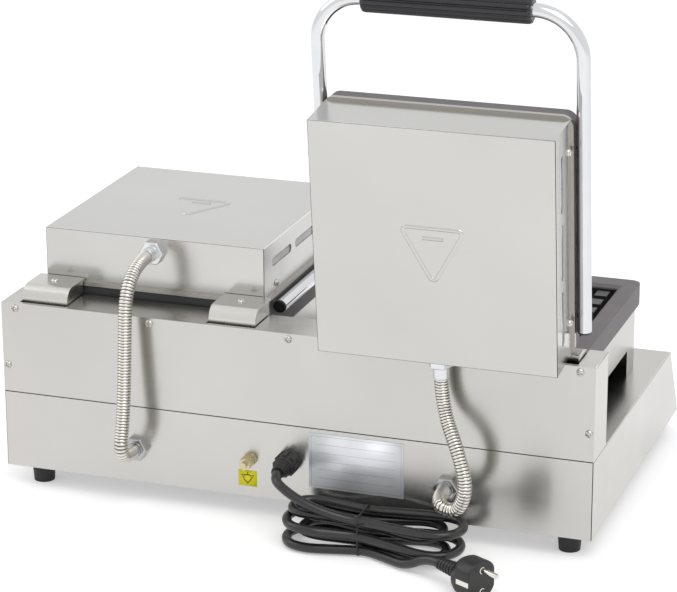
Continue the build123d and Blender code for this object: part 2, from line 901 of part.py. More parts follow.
def cord_gland():
    # Lock nut inside, flange outside and a ribbed sleeve that narrows to the cord.
    radius = cord_gland_diameter / 2
    tip = cord_diameter / 2 + 2.2
    profile = [(0, -9), (cord_gland_thread / 2, -9), (cord_gland_thread / 2, 0), (radius + 2, 0)]
    profile += [(radius + 2, 3), (radius, 4), (radius, 14)]
    rings = 4
    step = (cord_gland_length - 14) / rings
    for ring in range(rings):
        r0 = radius - (radius - tip) * ring / rings
        z0 = 14 + ring * step
        profile += [(r0 - 1.6, z0), (r0 - 1.6, z0 + step * 0.35), (r0 - 0.4, z0 + step * 0.35)]
        profile += [(r0 - 0.8, z0 + step)]
    profile += [(0, cord_gland_length)]
    face = Plane.XZ * make_face(Polyline(*profile, close=True))
    return to_back(0, rear_y, cord_gland_z) * revolve(face, Axis.Z)


# The hank lies on the floor behind the base. Its loops run along U, to the left as seen from
# the front, spread along V away from the object, and pile up along W.

def hank_point(u, v, w):
    # The lowest run lies on the tie, and the tie on the floor.
    lift = tie_thickness + running_gap + 0.1
    return Vector(hank_x - u, rear_y + hank_behind + v, lift + cord_diameter / 2 + w)


def hank_rail(run):
    # Distance of a run from the middle line: the spiral goes in, out, in and out again.
    return hank_inner + hank_pitch * abs(2 - run % 4) / 2


def hank_levels(run):
    # Layer heights at a run's start and end. Even runs past the first and before the last climb.
    first = max((run - 1) // 2, 0)
    last = min(run // 2, (hank_runs - 3) // 2)
    return first * hank_layer, last * hank_layer


def gentle_step(start, end, way):
    # Two equal arcs from start to end, both leaving along the same direction.
    offset = end - start
    along = offset.dot(way)
    side = offset - way * along
    rise = side.length
    lateral = side.normalized()
    radius = (along**2 + rise**2) / (4 * rise)
    half = math.atan2(rise, along)
    shift = way * (radius * math.sin(half)) + lateral * (radius * (1 - math.cos(half)))
    middle = (start + end) / 2
    return [
        ThreePointArc(start, start + shift, middle),
        ThreePointArc(middle, end - shift, end),
    ]


def hank_edges():
    # Even runs lie on the side away from the object and head left, odd runs come back.
    edges = []
    reach = hank_length / 2
    for run in range(hank_runs):
        way = 1 if run % 2 else -1
        rail = -way * hank_rail(run)
        low, high = hank_levels(run)
        waist = hank_point(0, rail + way * hank_waist, (low + high) / 2)
        start = hank_point(-way * reach, rail, low)
        end = hank_point(way * reach, rail, high)
        along = Vector(-way, 0, 0)
        if run > 0:
            edges += gentle_step(start, waist, along)
        edges += gentle_step(waist, end, along)
        if run < hank_runs - 1:
            after = way * hank_rail(run + 1)
            radius = abs(rail - after) / 2
            crown = hank_point(way * (reach + radius), (rail + after) / 2, high)
            edges.append(ThreePointArc(end, crown, hank_point(way * reach, after, high)))
    return edges


def hank_gap(edges):
    # Least clear distance between parts of the cord that don't follow each other closely.
    points = []
    along = 0.0
    for edge in edges:
        steps = 8
        for step in range(steps):
            points.append((along + edge.length * step / steps, edge @ (step / steps)))
        along += edge.length
    gaps = [
        (a - b).length
        for at, a in points
        for bt, b in points
        if bt - at > 4 * cord_diameter
    ]
    return min(gaps) - cord_diameter


def tube_along(path, radius):
    start = Plane(origin=path @ 0, z_dir=path % 0)
    return sweep(start * Circle(radius), path=path)


def cord_hank():
    edges = hank_edges()
    path = Wire(edges)
    print("hank length", round(path.length), "least gap to itself", round(hank_gap(edges), 2))
    return tube_along(path, cord_diameter / 2)


def cord_tie():
    # A flat band round the waist of the hank.
    skin = cord_diameter / 2 + running_gap
    outer = hank_rail(0) - hank_waist + skin
    inner = -(hank_rail(1) - hank_waist) - skin
    top = hank_levels(hank_runs - 1)[1]
    centre = hank_point(0, (outer + inner) / 2, top / 2)
    width, height = outer - inner, top + 2 * skin
    t = tie_thickness
    band = RectangleRounded(width + 2 * t, height + 2 * t, skin + t)
    band -= RectangleRounded(width, height, skin)
    plane = Plane(origin=centre, x_dir=(0, 1, 0), z_dir=(1, 0, 0))
    return extrude(plane * band, tie_width / 2, both=True)


def lead_route():
    start = Vector(0, rear_y + cord_gland_length, cord_gland_z)
    end = hank_point(-hank_length / 2, hank_rail(0), hank_levels(hank_runs - 1)[1])
    return [
        start,
        start + Vector(0, 18, 0),
        start + Vector(-9, 29, -17),
        Vector(end.X + 14, end.Y, end.Z),
        end,
    ]


def tail_route():
    start = hank_point(0, hank_rail(0) - hank_waist, 0)
    end, way = plug_entry()
    return [
        start,
        start + Vector(-9, 0, 0),
        start + Vector(-27, 8, 0),
        start + Vector(-48, 18, 0),
        end - way * 15,
        end,
    ]


def plug_entry():
    yaw = math.radians(plug_yaw)
    way = Vector(-math.cos(yaw), math.sin(yaw), 0)
    start = hank_point(0, hank_rail(0) - hank_waist, 0)
    return Vector(start.X - plug_reach, start.Y + plug_side, plug_diameter / 2 + running_gap), way


def plug_plane():
    entry, way = plug_entry()
    return Plane(origin=entry, x_dir=(0, 0, 1), z_dir=way)


def plug_body():
    profile = [(0, 0), (cord_diameter / 2 + 0.8, 0)]
    step = relief_length / relief_rings
    for ring in range(relief_rings):
        share = (ring + 1) / relief_rings
        radius = cord_diameter / 2 + 1 + (relief_diameter / 2 - cord_diameter / 2 - 1) * share
        z = ring * step
        profile += [(radius, z + step * 0.15), (radius, z + step * 0.6)]
        profile += [(radius - 1, z + step * 0.65), (radius - 1, z + step)]
    radius = plug_diameter / 2
    profile += [(radius - 7, relief_length + 3), (radius, relief_length + 11)]
    profile += [(radius, relief_length + plug_length), (0, relief_length + plug_length)]
    face = Plane.XZ * make_face(Polyline(*profile, close=True))
    body = revolve(face, Axis.Z)
    sides_cut = (plug_diameter - plug_flat) / 2
    for side in (-1, 1):
        y = side * (plug_flat / 2 + sides_cut / 2 + 0.5)
        z = relief_length + plug_length - 8
        body -= Pos(0, y, z) * Box(plug_clip_width + 4, sides_cut + 1, 30)
    end = relief_length + plug_length
    for side in (-1, 1):
        body -= Pos(side * plug_pitch / 2, 0, end) * Cylinder(plug_pin / 2 + 0.3, 16)
    return plug_plane() * body


def plug_pins():
    pins = []
    end = relief_length + plug_length
    for side in (-1, 1):
        length = plug_pin_length + 8
        pin = Cylinder(plug_pin / 2, length)
        pin = fillet(pin.edges().group_by(Axis.Z)[-1], plug_pin * 0.4)
        pins.append(plug_plane() * Pos(side * plug_pitch / 2, 0, end - 8 + length / 2) * pin)
    return solids_of(*pins)


# Assembly

def add_base():
    nodes["base_chassis"] = base_chassis()
    nodes["base_floor"] = base_floor()
    nodes["feet"], foot_screws = feet()
    nodes["hinge_housing"] = hinge_housing()
    nodes["rear_panel"] = rear_panel()
    screws = [to_back(x, rear_y, z) * pan_screw() for x, z in housing_screws()]
    nodes["body_screws"] = solids_of(foot_screws, *screws)
    nodes["hinge_brackets"] = hinge_brackets()
    nodes["terminal_block"] = terminal_block()
    nodes["bonding_terminal"] = bonding_terminal()
    nodes["cord_gland"] = cord_gland()
    places = control_places(thermostat_offset) + control_places(timer_offset)
    nodes["control_bodies"] = solids_of(*[place * rotary_body() for place in places])
    switches = [place * switch_body() for place in control_places(switch_offset)]
    nodes["switch_bodies"] = solids_of(*switches)
    lamps = [place * pilot_lamp() for place in control_places(lamp_offset)]
    nodes["pilot_lamps"] = solids_of(*lamps)


def add_station(name, side, upper, lower, lid_pieces):
    x = side * station_x
    nodes[f"{name}_lower_skirt"] = Pos(x, 0, 0) * lower_skirt()
    plate_z = seam_z - running_gap - lower_plate_height
    nodes[f"{name}_lower_plate"] = Pos(x, plate_mid_y, plate_z) * lower
    heater_z = plate_z - element_gap - element_diameter / 2
    nodes[f"{name}_lower_element"] = Pos(x, 0, 0) * element(heater_z)
    nodes[f"{name}_hinge_pin"] = hinge_pin(side)
    nodes[f"{name}_base_gland"] = base_gland(side)
    nodes[f"{name}_conduit"] = conduit(side)
    nodes[f"{name}_thermostat_knob"] = control_knob(panel_place(x + thermostat_offset))
    nodes[f"{name}_timer_knob"] = control_knob(panel_place(x + timer_offset))
    nodes[f"{name}_rocker"] = rocker(panel_place(x + switch_offset))
    cast = Pos(0, plate_mid_y, seam_z + upper_plate_height) * Rot(0, 180, 0) * upper
    edge = plate_width / 2 + 1
    cast = drill_arms(cast, screw_shank / 2 + running_gap, arm_screw_length, edge)
    pieces = {"upper_plate": cast, **lid_pieces}
    for piece, shape in pieces.items():
        nodes[f"{name}_{piece}"] = open_lid(Pos(x, 0, 0) * shape, side)


def add_cord():
    nodes["cord_lead"] = tube_along(smooth_path("lead", lead_route()), cord_diameter / 2)
    nodes["cord_hank"] = cord_hank()
    nodes["cord_tail"] = tube_along(smooth_path("tail", tail_route()), cord_diameter / 2)
    nodes["cord_tie"] = cord_tie()
    nodes["plug"] = plug_body()
    nodes["plug_pins"] = plug_pins()


def lid_parts():
    straps = [hinge_strap(x) for x in (-strap_offset, strap_offset)]
    knuckles = [hinge_knuckle(x) for x in (-strap_offset, strap_offset)]
    heater_z = seam_z + upper_plate_height + element_gap + element_diameter / 2
    return {
        "upper_element": element(heater_z),
        "lid_frame": lid_frame(),
        "lid_cover": lid_cover(),
        "lid_screws": solids_of(lid_screws(), handle_screws()),
        "lid_gland": lid_gland(),
        "hinge_straps": solids_of(*straps),
        "hinge_knuckles": solids_of(*knuckles),
        "handle_tube": handle_tube(),
        "handle_grip": handle_grip(),
        "handle_plugs": end_plugs(),
    }


def write_parts():
    os.makedirs("parts", exist_ok=True)
    for name, shape in nodes.items():
        export_step(shape, f"parts/{name}.step")


add_base()
lower_casting = waffle_plate(lower_plate_height, lower_cavity)
upper_casting = waffle_plate(upper_plate_height, upper_cavity)
lid_pieces = lid_parts()
for side_name, side_sign in sides.items():
    add_station(side_name, side_sign, upper_casting, lower_casting, lid_pieces)
add_cord()
write_parts()
print(len(nodes), "nodes")
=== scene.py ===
import json
import math
import bmesh
import bpy
from mathutils import Matrix, Vector

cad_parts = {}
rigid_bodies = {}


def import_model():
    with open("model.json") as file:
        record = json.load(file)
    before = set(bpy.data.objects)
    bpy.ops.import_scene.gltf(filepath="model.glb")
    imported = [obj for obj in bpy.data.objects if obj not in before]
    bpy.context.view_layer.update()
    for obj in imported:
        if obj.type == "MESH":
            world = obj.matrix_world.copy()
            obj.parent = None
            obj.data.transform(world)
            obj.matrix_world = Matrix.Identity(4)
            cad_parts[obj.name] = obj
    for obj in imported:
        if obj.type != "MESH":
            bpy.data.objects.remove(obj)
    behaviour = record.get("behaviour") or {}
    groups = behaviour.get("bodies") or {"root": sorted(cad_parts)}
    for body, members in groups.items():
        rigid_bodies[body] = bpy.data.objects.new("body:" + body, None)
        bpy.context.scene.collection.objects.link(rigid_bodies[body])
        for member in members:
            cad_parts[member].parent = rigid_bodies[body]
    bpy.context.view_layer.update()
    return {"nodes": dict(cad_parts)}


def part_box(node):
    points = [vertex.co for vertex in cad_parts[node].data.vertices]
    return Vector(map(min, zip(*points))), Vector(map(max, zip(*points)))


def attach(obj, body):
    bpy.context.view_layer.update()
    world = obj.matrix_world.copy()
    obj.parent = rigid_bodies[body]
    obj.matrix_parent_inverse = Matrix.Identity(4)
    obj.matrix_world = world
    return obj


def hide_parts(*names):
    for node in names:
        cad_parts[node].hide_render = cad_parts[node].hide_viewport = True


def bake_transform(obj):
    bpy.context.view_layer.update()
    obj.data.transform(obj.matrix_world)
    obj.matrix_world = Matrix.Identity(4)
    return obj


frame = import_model()
nodes = frame["nodes"]
print("frame loaded,", len(nodes), "nodes")

# Stations: the right lid is shut, the left one stands open.
station = {"x": 0.1455, "hingeY": 0.1175, "hingeZ": 0.170, "openAngle": 96.7}
sides = {"left": -1, "right": 1}
rearY = 0.150  # outer face of the rear wall


def openLid():
    # Turns a point of the shut lid to where the left lid stands.
    pivot = Vector((0, station["hingeY"], station["hingeZ"]))
    turn = Matrix.Rotation(math.radians(-station["openAngle"]), 4, "X")
    return Matrix.Translation(pivot) @ turn @ Matrix.Translation(-pivot)


def middleOf(side):
    return sides[side] * station["x"]


def lidPlace(side):
    # From a lid drawn shut about X = 0 to its own station.
    shift = Matrix.Translation((middleOf(side), 0, 0))
    return shift @ openLid() if side == "left" else shift


def addObject(name, data):
    # A new object in the scene.
    obj = bpy.data.objects.new(name, data)
    bpy.context.scene.collection.objects.link(obj)
    return obj


def boxOf(node):
    return [Vector(corner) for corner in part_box(node)]


def plainMesh(obj):
    # The evaluated object as a plain mesh.
    depsgraph = bpy.context.evaluated_depsgraph_get()
    depsgraph.update()
    return bpy.data.meshes.new_from_object(obj.evaluated_get(depsgraph))


# Camera, at the photograph's place

camera = {
    "place": (-0.7934, 2.2929, 0.9785), "turn": (0.397, -2.369, 1.703),
    "lens": 148.16, "sensor": 36.0,
}


def addCamera():
    data = bpy.data.cameras.new("camera")
    data.sensor_width, data.lens = camera["sensor"], camera["lens"]
    obj = addObject("camera", data)
    axis = Vector(camera["turn"])
    worldToLens = Matrix.Rotation(axis.length, 3, axis.normalized())
    turn = worldToLens.transposed() @ Matrix.Diagonal((1, -1, -1))
    obj.matrix_world = Matrix.Translation(camera["place"]) @ turn.to_4x4()
    bpy.context.scene.camera = obj


addCamera()
print("camera placed")


# Node helpers

class NodeSet:
    # Adds, feeds and links the nodes of one tree.
    def __init__(self, tree):
        self.tree = tree

    def add(self, kind, feeds=None, **values):
        node = self.tree.nodes.new(kind)
        for key, value in values.items():
            setattr(node, key, value)
        for key, value in (feeds or {}).items():
            self.feed(node.inputs[key], value)
        return node

    def feed(self, socket, value):
        if hasattr(value, "is_linked"):
            self.tree.links.new(value, socket)
        elif socket.type == "RGBA":
            socket.default_value = (*value, 1)
        else:
            socket.default_value = value

    def math(self, operation, a, b=0.0, clamp=False):
        feeds = {0: a, 1: b}
        return self.add("ShaderNodeMath", feeds, operation=operation, use_clamp=clamp).outputs[0]


class Shader(NodeSet):
    # The nodes of one material, on Object coordinates.
    def __init__(self, name):
        self.mat = bpy.data.materials.new(name)
        self.mat.use_nodes = True
        super().__init__(self.mat.node_tree)
        self.body = self.tree.nodes["Principled BSDF"]
        self.coord = self.add("ShaderNodeTexCoord").outputs["Object"]

    def noise(self, scale, detail=3.0, stretch=(1, 1, 1)):
        mapping = self.add("ShaderNodeMapping", {"Vector": self.coord, "Scale": stretch})
        feeds = {"Vector": mapping.outputs["Vector"], "Scale": scale, "Detail": detail}
        return self.add("ShaderNodeTexNoise", feeds).outputs["Fac"]

    def ramp(self, source, low, high, start=0.0, end=1.0):
        # Maps source from start..end to low..high.
        feeds = {"Value": source, "From Min": start, "From Max": end, "To Min": low, "To Max": high}
        return self.add("ShaderNodeMapRange", feeds).outputs["Result"]

    def vary(self, source, low, high, level):
        # A level that source moves by low to high.
        return self.math("ADD", self.ramp(source, low, high), level, clamp=True)

    def mix(self, factor, first, second):
        feeds = {"Factor": factor, 6: first, 7: second}
        return self.add("ShaderNodeMix", feeds, data_type="RGBA").outputs[2]

    def set(self, **values):
        for key, value in values.items():
            self.feed(self.body.inputs[key.replace("_", " ")], value)
        return self.mat

    def bump(self, height, strength, distance=0.0002):
        feeds = {"Strength": strength, "Distance": distance, "Height": height}
        return self.set(Normal=self.add("ShaderNodeBump", feeds).outputs["Normal"])


def scaled(tone, share):
    return tuple(v * share for v in tone)


# Materials

brushing = {"lines": 1500.0, "cloud": 4.5, "marks": 16.0, "streak": 0.06, "lineShare": 0.35}
iron = {
    "rim": ((0.115, 0.105, 0.112), (0.185, 0.170, 0.180)),
    "oiledWellAndShade": ((0.012, 0.012, 0.013), (0.030, 0.029, 0.030)),
    # Painted shade: the two values after wellDepth set how deep and how dark the plates' rear sides
    # are shaded.
    "wellDepth": -0.0006, "rearShadeDepth": -0.0008, "rearShade": 0.85, "rough": (0.52, 0.30),
}


def brushedSteel(name, tone, rough, stretch, smudge, drawn):
    # Stainless sheet: fine brush lines along one axis, slow clouds and faint handling marks.
    v = brushing
    s = Shader(name)
    lines = s.noise(v["lines"], 2.0, stretch)
    cloud = s.ramp(s.noise(v["cloud"]), 0.0, 1.0, 0.3, 0.7)
    marks = s.ramp(s.noise(v["marks"], 4.0), -smudge, smudge, 0.3, 0.7)
    share = v["lineShare"]
    shade = s.math("ADD", s.math("MULTIPLY", lines, share), s.math("MULTIPLY", cloud, 1 - share))
    level = s.math("ADD", s.ramp(lines, -0.02, 0.02), marks)
    s.set(
        Base_Color=s.mix(shade, scaled(tone, 1 - v["streak"]), scaled(tone, 1 + v["streak"])),
        Metallic=1.0, Roughness=s.math("ADD", level, rough, clamp=True),
    )
    s.bump(lines, 0.04, 0.0001)
    if drawn:  # level brush lines draw reflections out up and down
        tangent = s.add("ShaderNodeTangent", direction_type="RADIAL", axis="Z")
        s.set(Tangent=tangent.outputs["Tangent"], Anisotropic=drawn, Anisotropic_Rotation=0.25)
    return s.mat


def plainMetal(name, tone, rough, grain, bump):
    s = Shader(name)
    speck = s.noise(grain)
    shade = s.mix(s.noise(35.0, 4.0), scaled(tone, 0.88), tone)
    s.set(Base_Color=shade, Metallic=1.0, Roughness=s.vary(speck, -0.06, 0.08, rough))
    return s.bump(speck, bump)


def ribbedSteel(name, tone, rough):
    # Wound strip: crests in the steel's tone, and grooves darkened nearly black as painted shade,
    # read from the hose's groove attribute.
    s = Shader(name)
    groove = s.add("ShaderNodeAttribute", attribute_name="groove").outputs["Fac"]
    speck = s.noise(700.0)
    bright = s.mix(s.noise(120.0), scaled(tone, 0.86), tone)
    s.set(
        # Painted shade: the grooves are mixed toward near black.
        Base_Color=s.mix(s.math("MULTIPLY", groove, 0.88), bright, (0.05, 0.046, 0.04)),
        Metallic=1.0, Roughness=s.vary(speck, -0.05, 0.08, rough),
    )
    return s.bump(speck, 0.08)


def mineralWool(name, tone):
    # Pressed insulation: matt, with a short tangled fibre.
    s = Shader(name)
    fibre = s.noise(900.0, 6.0, (1, 0.35, 1))
    shade = s.mix(s.noise(60.0, 4.0), scaled(tone, 0.93), tone)
    s.set(Base_Color=shade, Roughness=s.ramp(fibre, 0.85, 1.0), Sheen_Weight=0.2)
    return s.bump(fibre, 0.5, 0.0006)


def moulded(name, tone, rough, grain, bump, cloudy):
    # Moulded plastic or rubber with a fine spark-eroded grain.
    s = Shader(name)
    speck = s.noise(grain, 2.0)
    cloud = s.noise(18.0)
    shade = s.mix(cloud, scaled(tone, 1 - cloudy), scaled(tone, 1 + cloudy))
    s.set(Base_Color=shade, Roughness=s.vary(cloud, -0.05, 0.07, rough))
    return s.bump(speck, bump)


def castIron(name, centre, normal, reach, rear):
    # Dark casting: grey satin rim, black with oil in the baking well; painted shade darkens the
    # rear side below the rim.
    v = iron
    s = Shader(name)
    offset = s.add("ShaderNodeVectorMath", {0: s.coord, 1: centre}, operation="SUBTRACT").outputs[0]

    def along(axis):
        node = s.add("ShaderNodeVectorMath", {0: offset, 1: axis}, operation="DOT_PRODUCT")
        return node.outputs["Value"]

    lengthwise = along(tuple(Vector(normal).cross(Vector((1, 0, 0)))))
    depth = along(normal)
    inside = s.math("LESS_THAN", depth, v["wellDepth"])
    nearX = s.math("LESS_THAN", s.math("ABSOLUTE", along((1, 0, 0))), reach[0])
    nearY = s.math("LESS_THAN", s.math("ABSOLUTE", lengthwise), reach[1])
    well = s.math("MULTIPLY", s.math("MULTIPLY", nearX, nearY), inside)
    # Painted shade: the rear side below the rim is darkened toward the near-black well tone, where
    # the narrow gap behind the plates is in shade.
    behind = s.math("GREATER_THAN", s.math("MULTIPLY", lengthwise, rear[0]), rear[1])
    shadedRear = s.math("MULTIPLY", behind, s.math("LESS_THAN", depth, v["rearShadeDepth"]))
    black = s.math("MAXIMUM", well, s.math("MULTIPLY", shadedRear, v["rearShade"]))
    pits = s.noise(700.0, 5.0)
    cloud = s.noise(26.0, 4.0)
    s.set(
        Base_Color=s.mix(black, s.mix(cloud, *v["rim"]), s.mix(cloud, *v["oiledWellAndShade"])),
        Metallic=0.25, Roughness=s.vary(pits, -0.08, 0.10, s.ramp(well, *v["rough"])),
    )
    return s.bump(pits, 0.35, 0.0004)


def clearLens(name, tone):
    s = Shader(name)
    facets = s.noise(500.0, 1.0)
    shade = s.mix(facets, scaled(tone, 0.7), tone)
    s.set(Base_Color=shade, Roughness=0.12, Coat_Weight=0.6, Coat_Roughness=0.05)
    return s.bump(facets, 0.2, 0.0003)


def sheathRubber(name, tone):
    # Cord sheath: glossy black with faint scuffs along it.
    s = Shader(name)
    scuff = s.noise(90.0, 5.0)
    s.set(
        Base_Color=s.mix(scuff, tone, scaled(tone, 1.9)),
        Roughness=s.ramp(scuff, 0.24, 0.42, 0.3, 0.7), Coat_Weight=0.25, Coat_Roughness=0.2,
    )
    return s.bump(s.noise(1500.0, 2.0), 0.08)


def printedPlate(name, base, rough, metallic, ink=None, lines=()):
    # A plate, plain or with printed lines, which are boxes: (x0, x1, z0, z1) in metres.
    s = Shader(name)
    split = s.add("ShaderNodeSeparateXYZ", {0: s.coord})
    grain = s.noise(300.0, 2.0)
    shade = s.mix(grain, scaled(base, 0.95), base)
    total = 0.0  # one on a line, else nought
    for x0, x1, z0, z1 in lines:
        part = 1.0
        for axis, low, high in (("X", x0, x1), ("Z", z0, z1)):
            above = s.math("GREATER_THAN", split.outputs[axis], low)
            below = s.math("LESS_THAN", split.outputs[axis], high)
            part = s.math("MULTIPLY", part, s.math("MULTIPLY", above, below))
        total = s.math("MAXIMUM", total, part)
    shade = s.mix(total, shade, ink) if lines else shade
    rough = s.vary(grain, -0.04, 0.04, rough)
    return s.set(Base_Color=shade, Metallic=metallic, Roughness=rough)


steels = {  # tone, roughness, brush direction, smudges, how far reflections are drawn out
    "bodySteel": ((0.54, 0.533, 0.512), 0.23, (0.02, 1, 1), 0.035, 0.7),
    "lidSteel": ((0.555, 0.551, 0.535), 0.21, (0.02, 1, 1), 0.035, 0.0),
    "sideSteel": ((0.52, 0.513, 0.492), 0.24, (1, 0.02, 1), 0.035, 0.0),
    "frameSteel": ((0.45, 0.43, 0.40), 0.28, (0.05, 1, 1), 0.06, 0.0),
    "strapSteel": ((0.62, 0.605, 0.57), 0.24, (1, 0.05, 1), 0.06, 0.0),
}
metals = {  # tone, roughness, grain, bump
    # Painted highlight and painted shade for fold bevels: a near-white edge where the bevel faces
    # up, a near-black one elsewhere.
    "edgeSteel": ((0.95, 0.945, 0.93), 0.24, 500.0, 0.03),
    "shadeEdge": ((0.07, 0.068, 0.062), 0.45, 500.0, 0.03),
    "floorSteel": ((0.5, 0.5, 0.5), 0.4, 400.0, 0.1),
    "bracketSteel": ((0.36, 0.36, 0.35), 0.42, 400.0, 0.1),
    "screwSteel": ((0.62, 0.60, 0.57), 0.26, 900.0, 0.05),
    "nickel": ((0.44, 0.44, 0.445), 0.12, 300.0, 0.05),
    "paleNickel": ((0.74, 0.75, 0.76), 0.22, 300.0, 0.05),
    "chrome": ((0.72, 0.725, 0.74), 0.06, 60.0, 0.015),
    "brass": ((0.62, 0.56, 0.38), 0.25, 500.0, 0.05),
    "pins": ((0.78, 0.76, 0.72), 0.14, 500.0, 0.03),
    "heater": ((0.22, 0.21, 0.20), 0.45, 400.0, 0.1),
}
mouldings = {  # tone, roughness, grain, bump, cloudiness
    "feet": ((0.016, 0.016, 0.016), 0.62, 1200.0, 0.15, 0.25),
    "grip": ((0.016, 0.016, 0.020), 0.30, 900.0, 0.12, 0.25),
    "blackMoulding": ((0.010, 0.010, 0.010), 0.42, 1200.0, 0.15, 0.25),
    "plugBody": ((0.009, 0.009, 0.0095), 0.34, 1200.0, 0.15, 0.25),
    "paleBlock": ((0.72, 0.70, 0.64), 0.5, 900.0, 0.1, 0.06),
    "knob": ((0.020, 0.020, 0.021), 0.38, 900.0, 0.1, 0.25),
    "rocker": ((0.42, 0.02, 0.015), 0.22, 900.0, 0.04, 0.1),
    "whiteInk": ((0.75, 0.75, 0.73), 0.5, 900.0, 0.02, 0.03),
    "darkInk": ((0.03, 0.03, 0.03), 0.5, 900.0, 0.02, 0.05),
    "seamShade": ((0.03, 0.03, 0.03), 0.6, 900.0, 0.05, 0.1),
}
finishes = {}
for make, rows in ((brushedSteel, steels), (plainMetal, metals), (moulded, mouldings)):
    for finishName, row in rows.items():
        finishes[finishName] = make(finishName, *row)
finishes["hoseSteel"] = ribbedSteel("hoseSteel", (0.76, 0.735, 0.68), 0.20)
finishes["padWool"] = mineralWool("padWool", (0.95, 0.95, 0.95))
finishes["lens"] = clearLens("lens", (0.75, 0.26, 0.03))
finishes["cord"] = sheathRubber("cord", (0.0055, 0.0055, 0.006))
print("materials made,", len(finishes))


# Mesh helpers

def fromBmesh(name, bm, finish, place=None, sharp=35.0):
    if place is not None:
        bmesh.ops.transform(bm, matrix=place, verts=bm.verts)
    bmesh.ops.recalc_face_normals(bm, faces=bm.faces)
    for edge in bm.edges:
        if len(edge.link_faces) == 2 and edge.calc_face_angle(0) > math.radians(sharp):
            edge.smooth = False
    mesh = bpy.data.meshes.new(name)
    bm.to_mesh(mesh)
    bm.free()
    mesh.materials.append(finishes[finish])
    mesh.polygons.foreach_set("use_smooth", [True] * len(mesh.polygons))
    return addObject(name, mesh)


def boxInto(bm, centre, size, place=Matrix()):
    matrix = place @ Matrix.Translation(centre) @ Matrix.Diagonal((*size, 1))
    return bmesh.ops.create_cube(bm, size=1.0, matrix=matrix)["verts"]


def bridge(bm, low, high):
    # Faces between two rings, of which one may be a single point.
    count = max(len(low), len(high))
    for k in range(count):
        j = (k + 1) % count
        if len(low) == 1:
            bm.faces.new((low[0], high[j], high[k]))
        elif len(high) == 1:
            bm.faces.new((low[k], low[j], high[0]))
        else:
            bm.faces.new((low[k], low[j], high[j], high[k]))


def skinInto(bm, rings, caps=False):
    for low, high in zip(rings, rings[1:]):
        bridge(bm, low, high)
    if caps:
        bm.faces.new(rings[0][::-1])
        bm.faces.new(rings[-1])


def circle(steps):
    # Cosine and sine of evenly spaced turns.
    turns = (2 * math.pi * k / steps for k in range(steps))
    return [(math.cos(t), math.sin(t)) for t in turns]


def latheInto(bm, profile, steps, place=None):
    # Turns (radius, height) pairs about Z; a radius of 0 closes on the axis.
    rings = []
    for radius, height in profile:
        spots = circle(steps) if radius else [(0, 0)]
        rings.append([bm.verts.new((radius * c, radius * s, height)) for c, s in spots])
    skinInto(bm, rings)
    made = [v for ring in rings for v in ring]
    if place is not None:
        bmesh.ops.transform(bm, matrix=place, verts=made)
    return made


def roundCorners(points, radius, steps):
    # Replaces each inner corner of a polyline by an arc.
    points = [Vector(p) for p in points]
    out = [points[0]]
    for before, here, after in zip(points, points[1:], points[2:]):
        inWay, outWay = (here - before).normalized(), (after - here).normalized()
        turn = inWay.angle(outWay)
        start = here - inWay * (radius * math.tan(turn / 2))
        centre = here + (outWay - inWay).normalized() * (radius / math.cos(turn / 2))
        axis = inWay.cross(outWay).normalized()
        for i in range(steps + 1):
            out.append(centre + Matrix.Rotation(turn * i / steps, 3, axis) @ (start - centre))
    out.append(points[-1])
    return out


def roundLoop(corners, radius, steps):
    # A rounded loop from the middle of its last edge round to just short of there.
    corners = [Vector(c) for c in corners]
    start = (corners[-1] + corners[0]) / 2
    end = start - (corners[0] - corners[-1]).normalized() * 1e-5
    return roundCorners([start, *corners, end], radius, steps)


def tubeInto(bm, points, radius, steps, caps=True):
    # Sweeps a circle along points without twist.
    rings = []
    side = (points[1] - points[0]).normalized().orthogonal().normalized()
    for i, point in enumerate(points):
        ahead = points[min(i + 1, len(points) - 1)] - points[max(i - 1, 0)]
        ahead.normalize()
        side = (side - ahead * side.dot(ahead)).normalized()
        up = ahead.cross(side)
        rings.append([bm.verts.new(point + radius * (c * side + s * up)) for c, s in circle(steps)])
    skinInto(bm, rings, caps)


inkProud = 0.00006


def barInto(bm, a, b, width, place):
    # A thin printed bar from a to b on the place's own plane.
    a, b = Vector((*a, 0)), Vector((*b, 0))
    way = (b - a).normalized()
    side = Vector((-way.y, way.x, 0)) * (width / 2)
    corners = (a - side, b - side, b + side, a + side)
    low = [bm.verts.new(place @ p) for p in corners]
    top = [bm.verts.new(place @ (p + Vector((0, 0, inkProud)))) for p in corners]
    skinInto(bm, [low, top], True)


def addBevel(obj, width, angle):
    bevel = obj.modifiers.new("bevel", "BEVEL")
    bevel.width = width
    bevel.segments = 2
    bevel.limit_method = "ANGLE"
    bevel.angle_limit = math.radians(angle)
    return bevel


def settle(obj):
    # Turns the evaluated object into its plain mesh and clears its modifiers.
    mesh = plainMesh(obj)
    obj.modifiers.clear()
    old = obj.data
    obj.data = mesh
    mesh.name = obj.name
    bpy.data.meshes.remove(old)


def replace(obj, node, body):
    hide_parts(node)
    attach(obj, body)


def dress(obj, body):
    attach(obj, body)


# Supply cord. Points repeat the CAD route in metres.

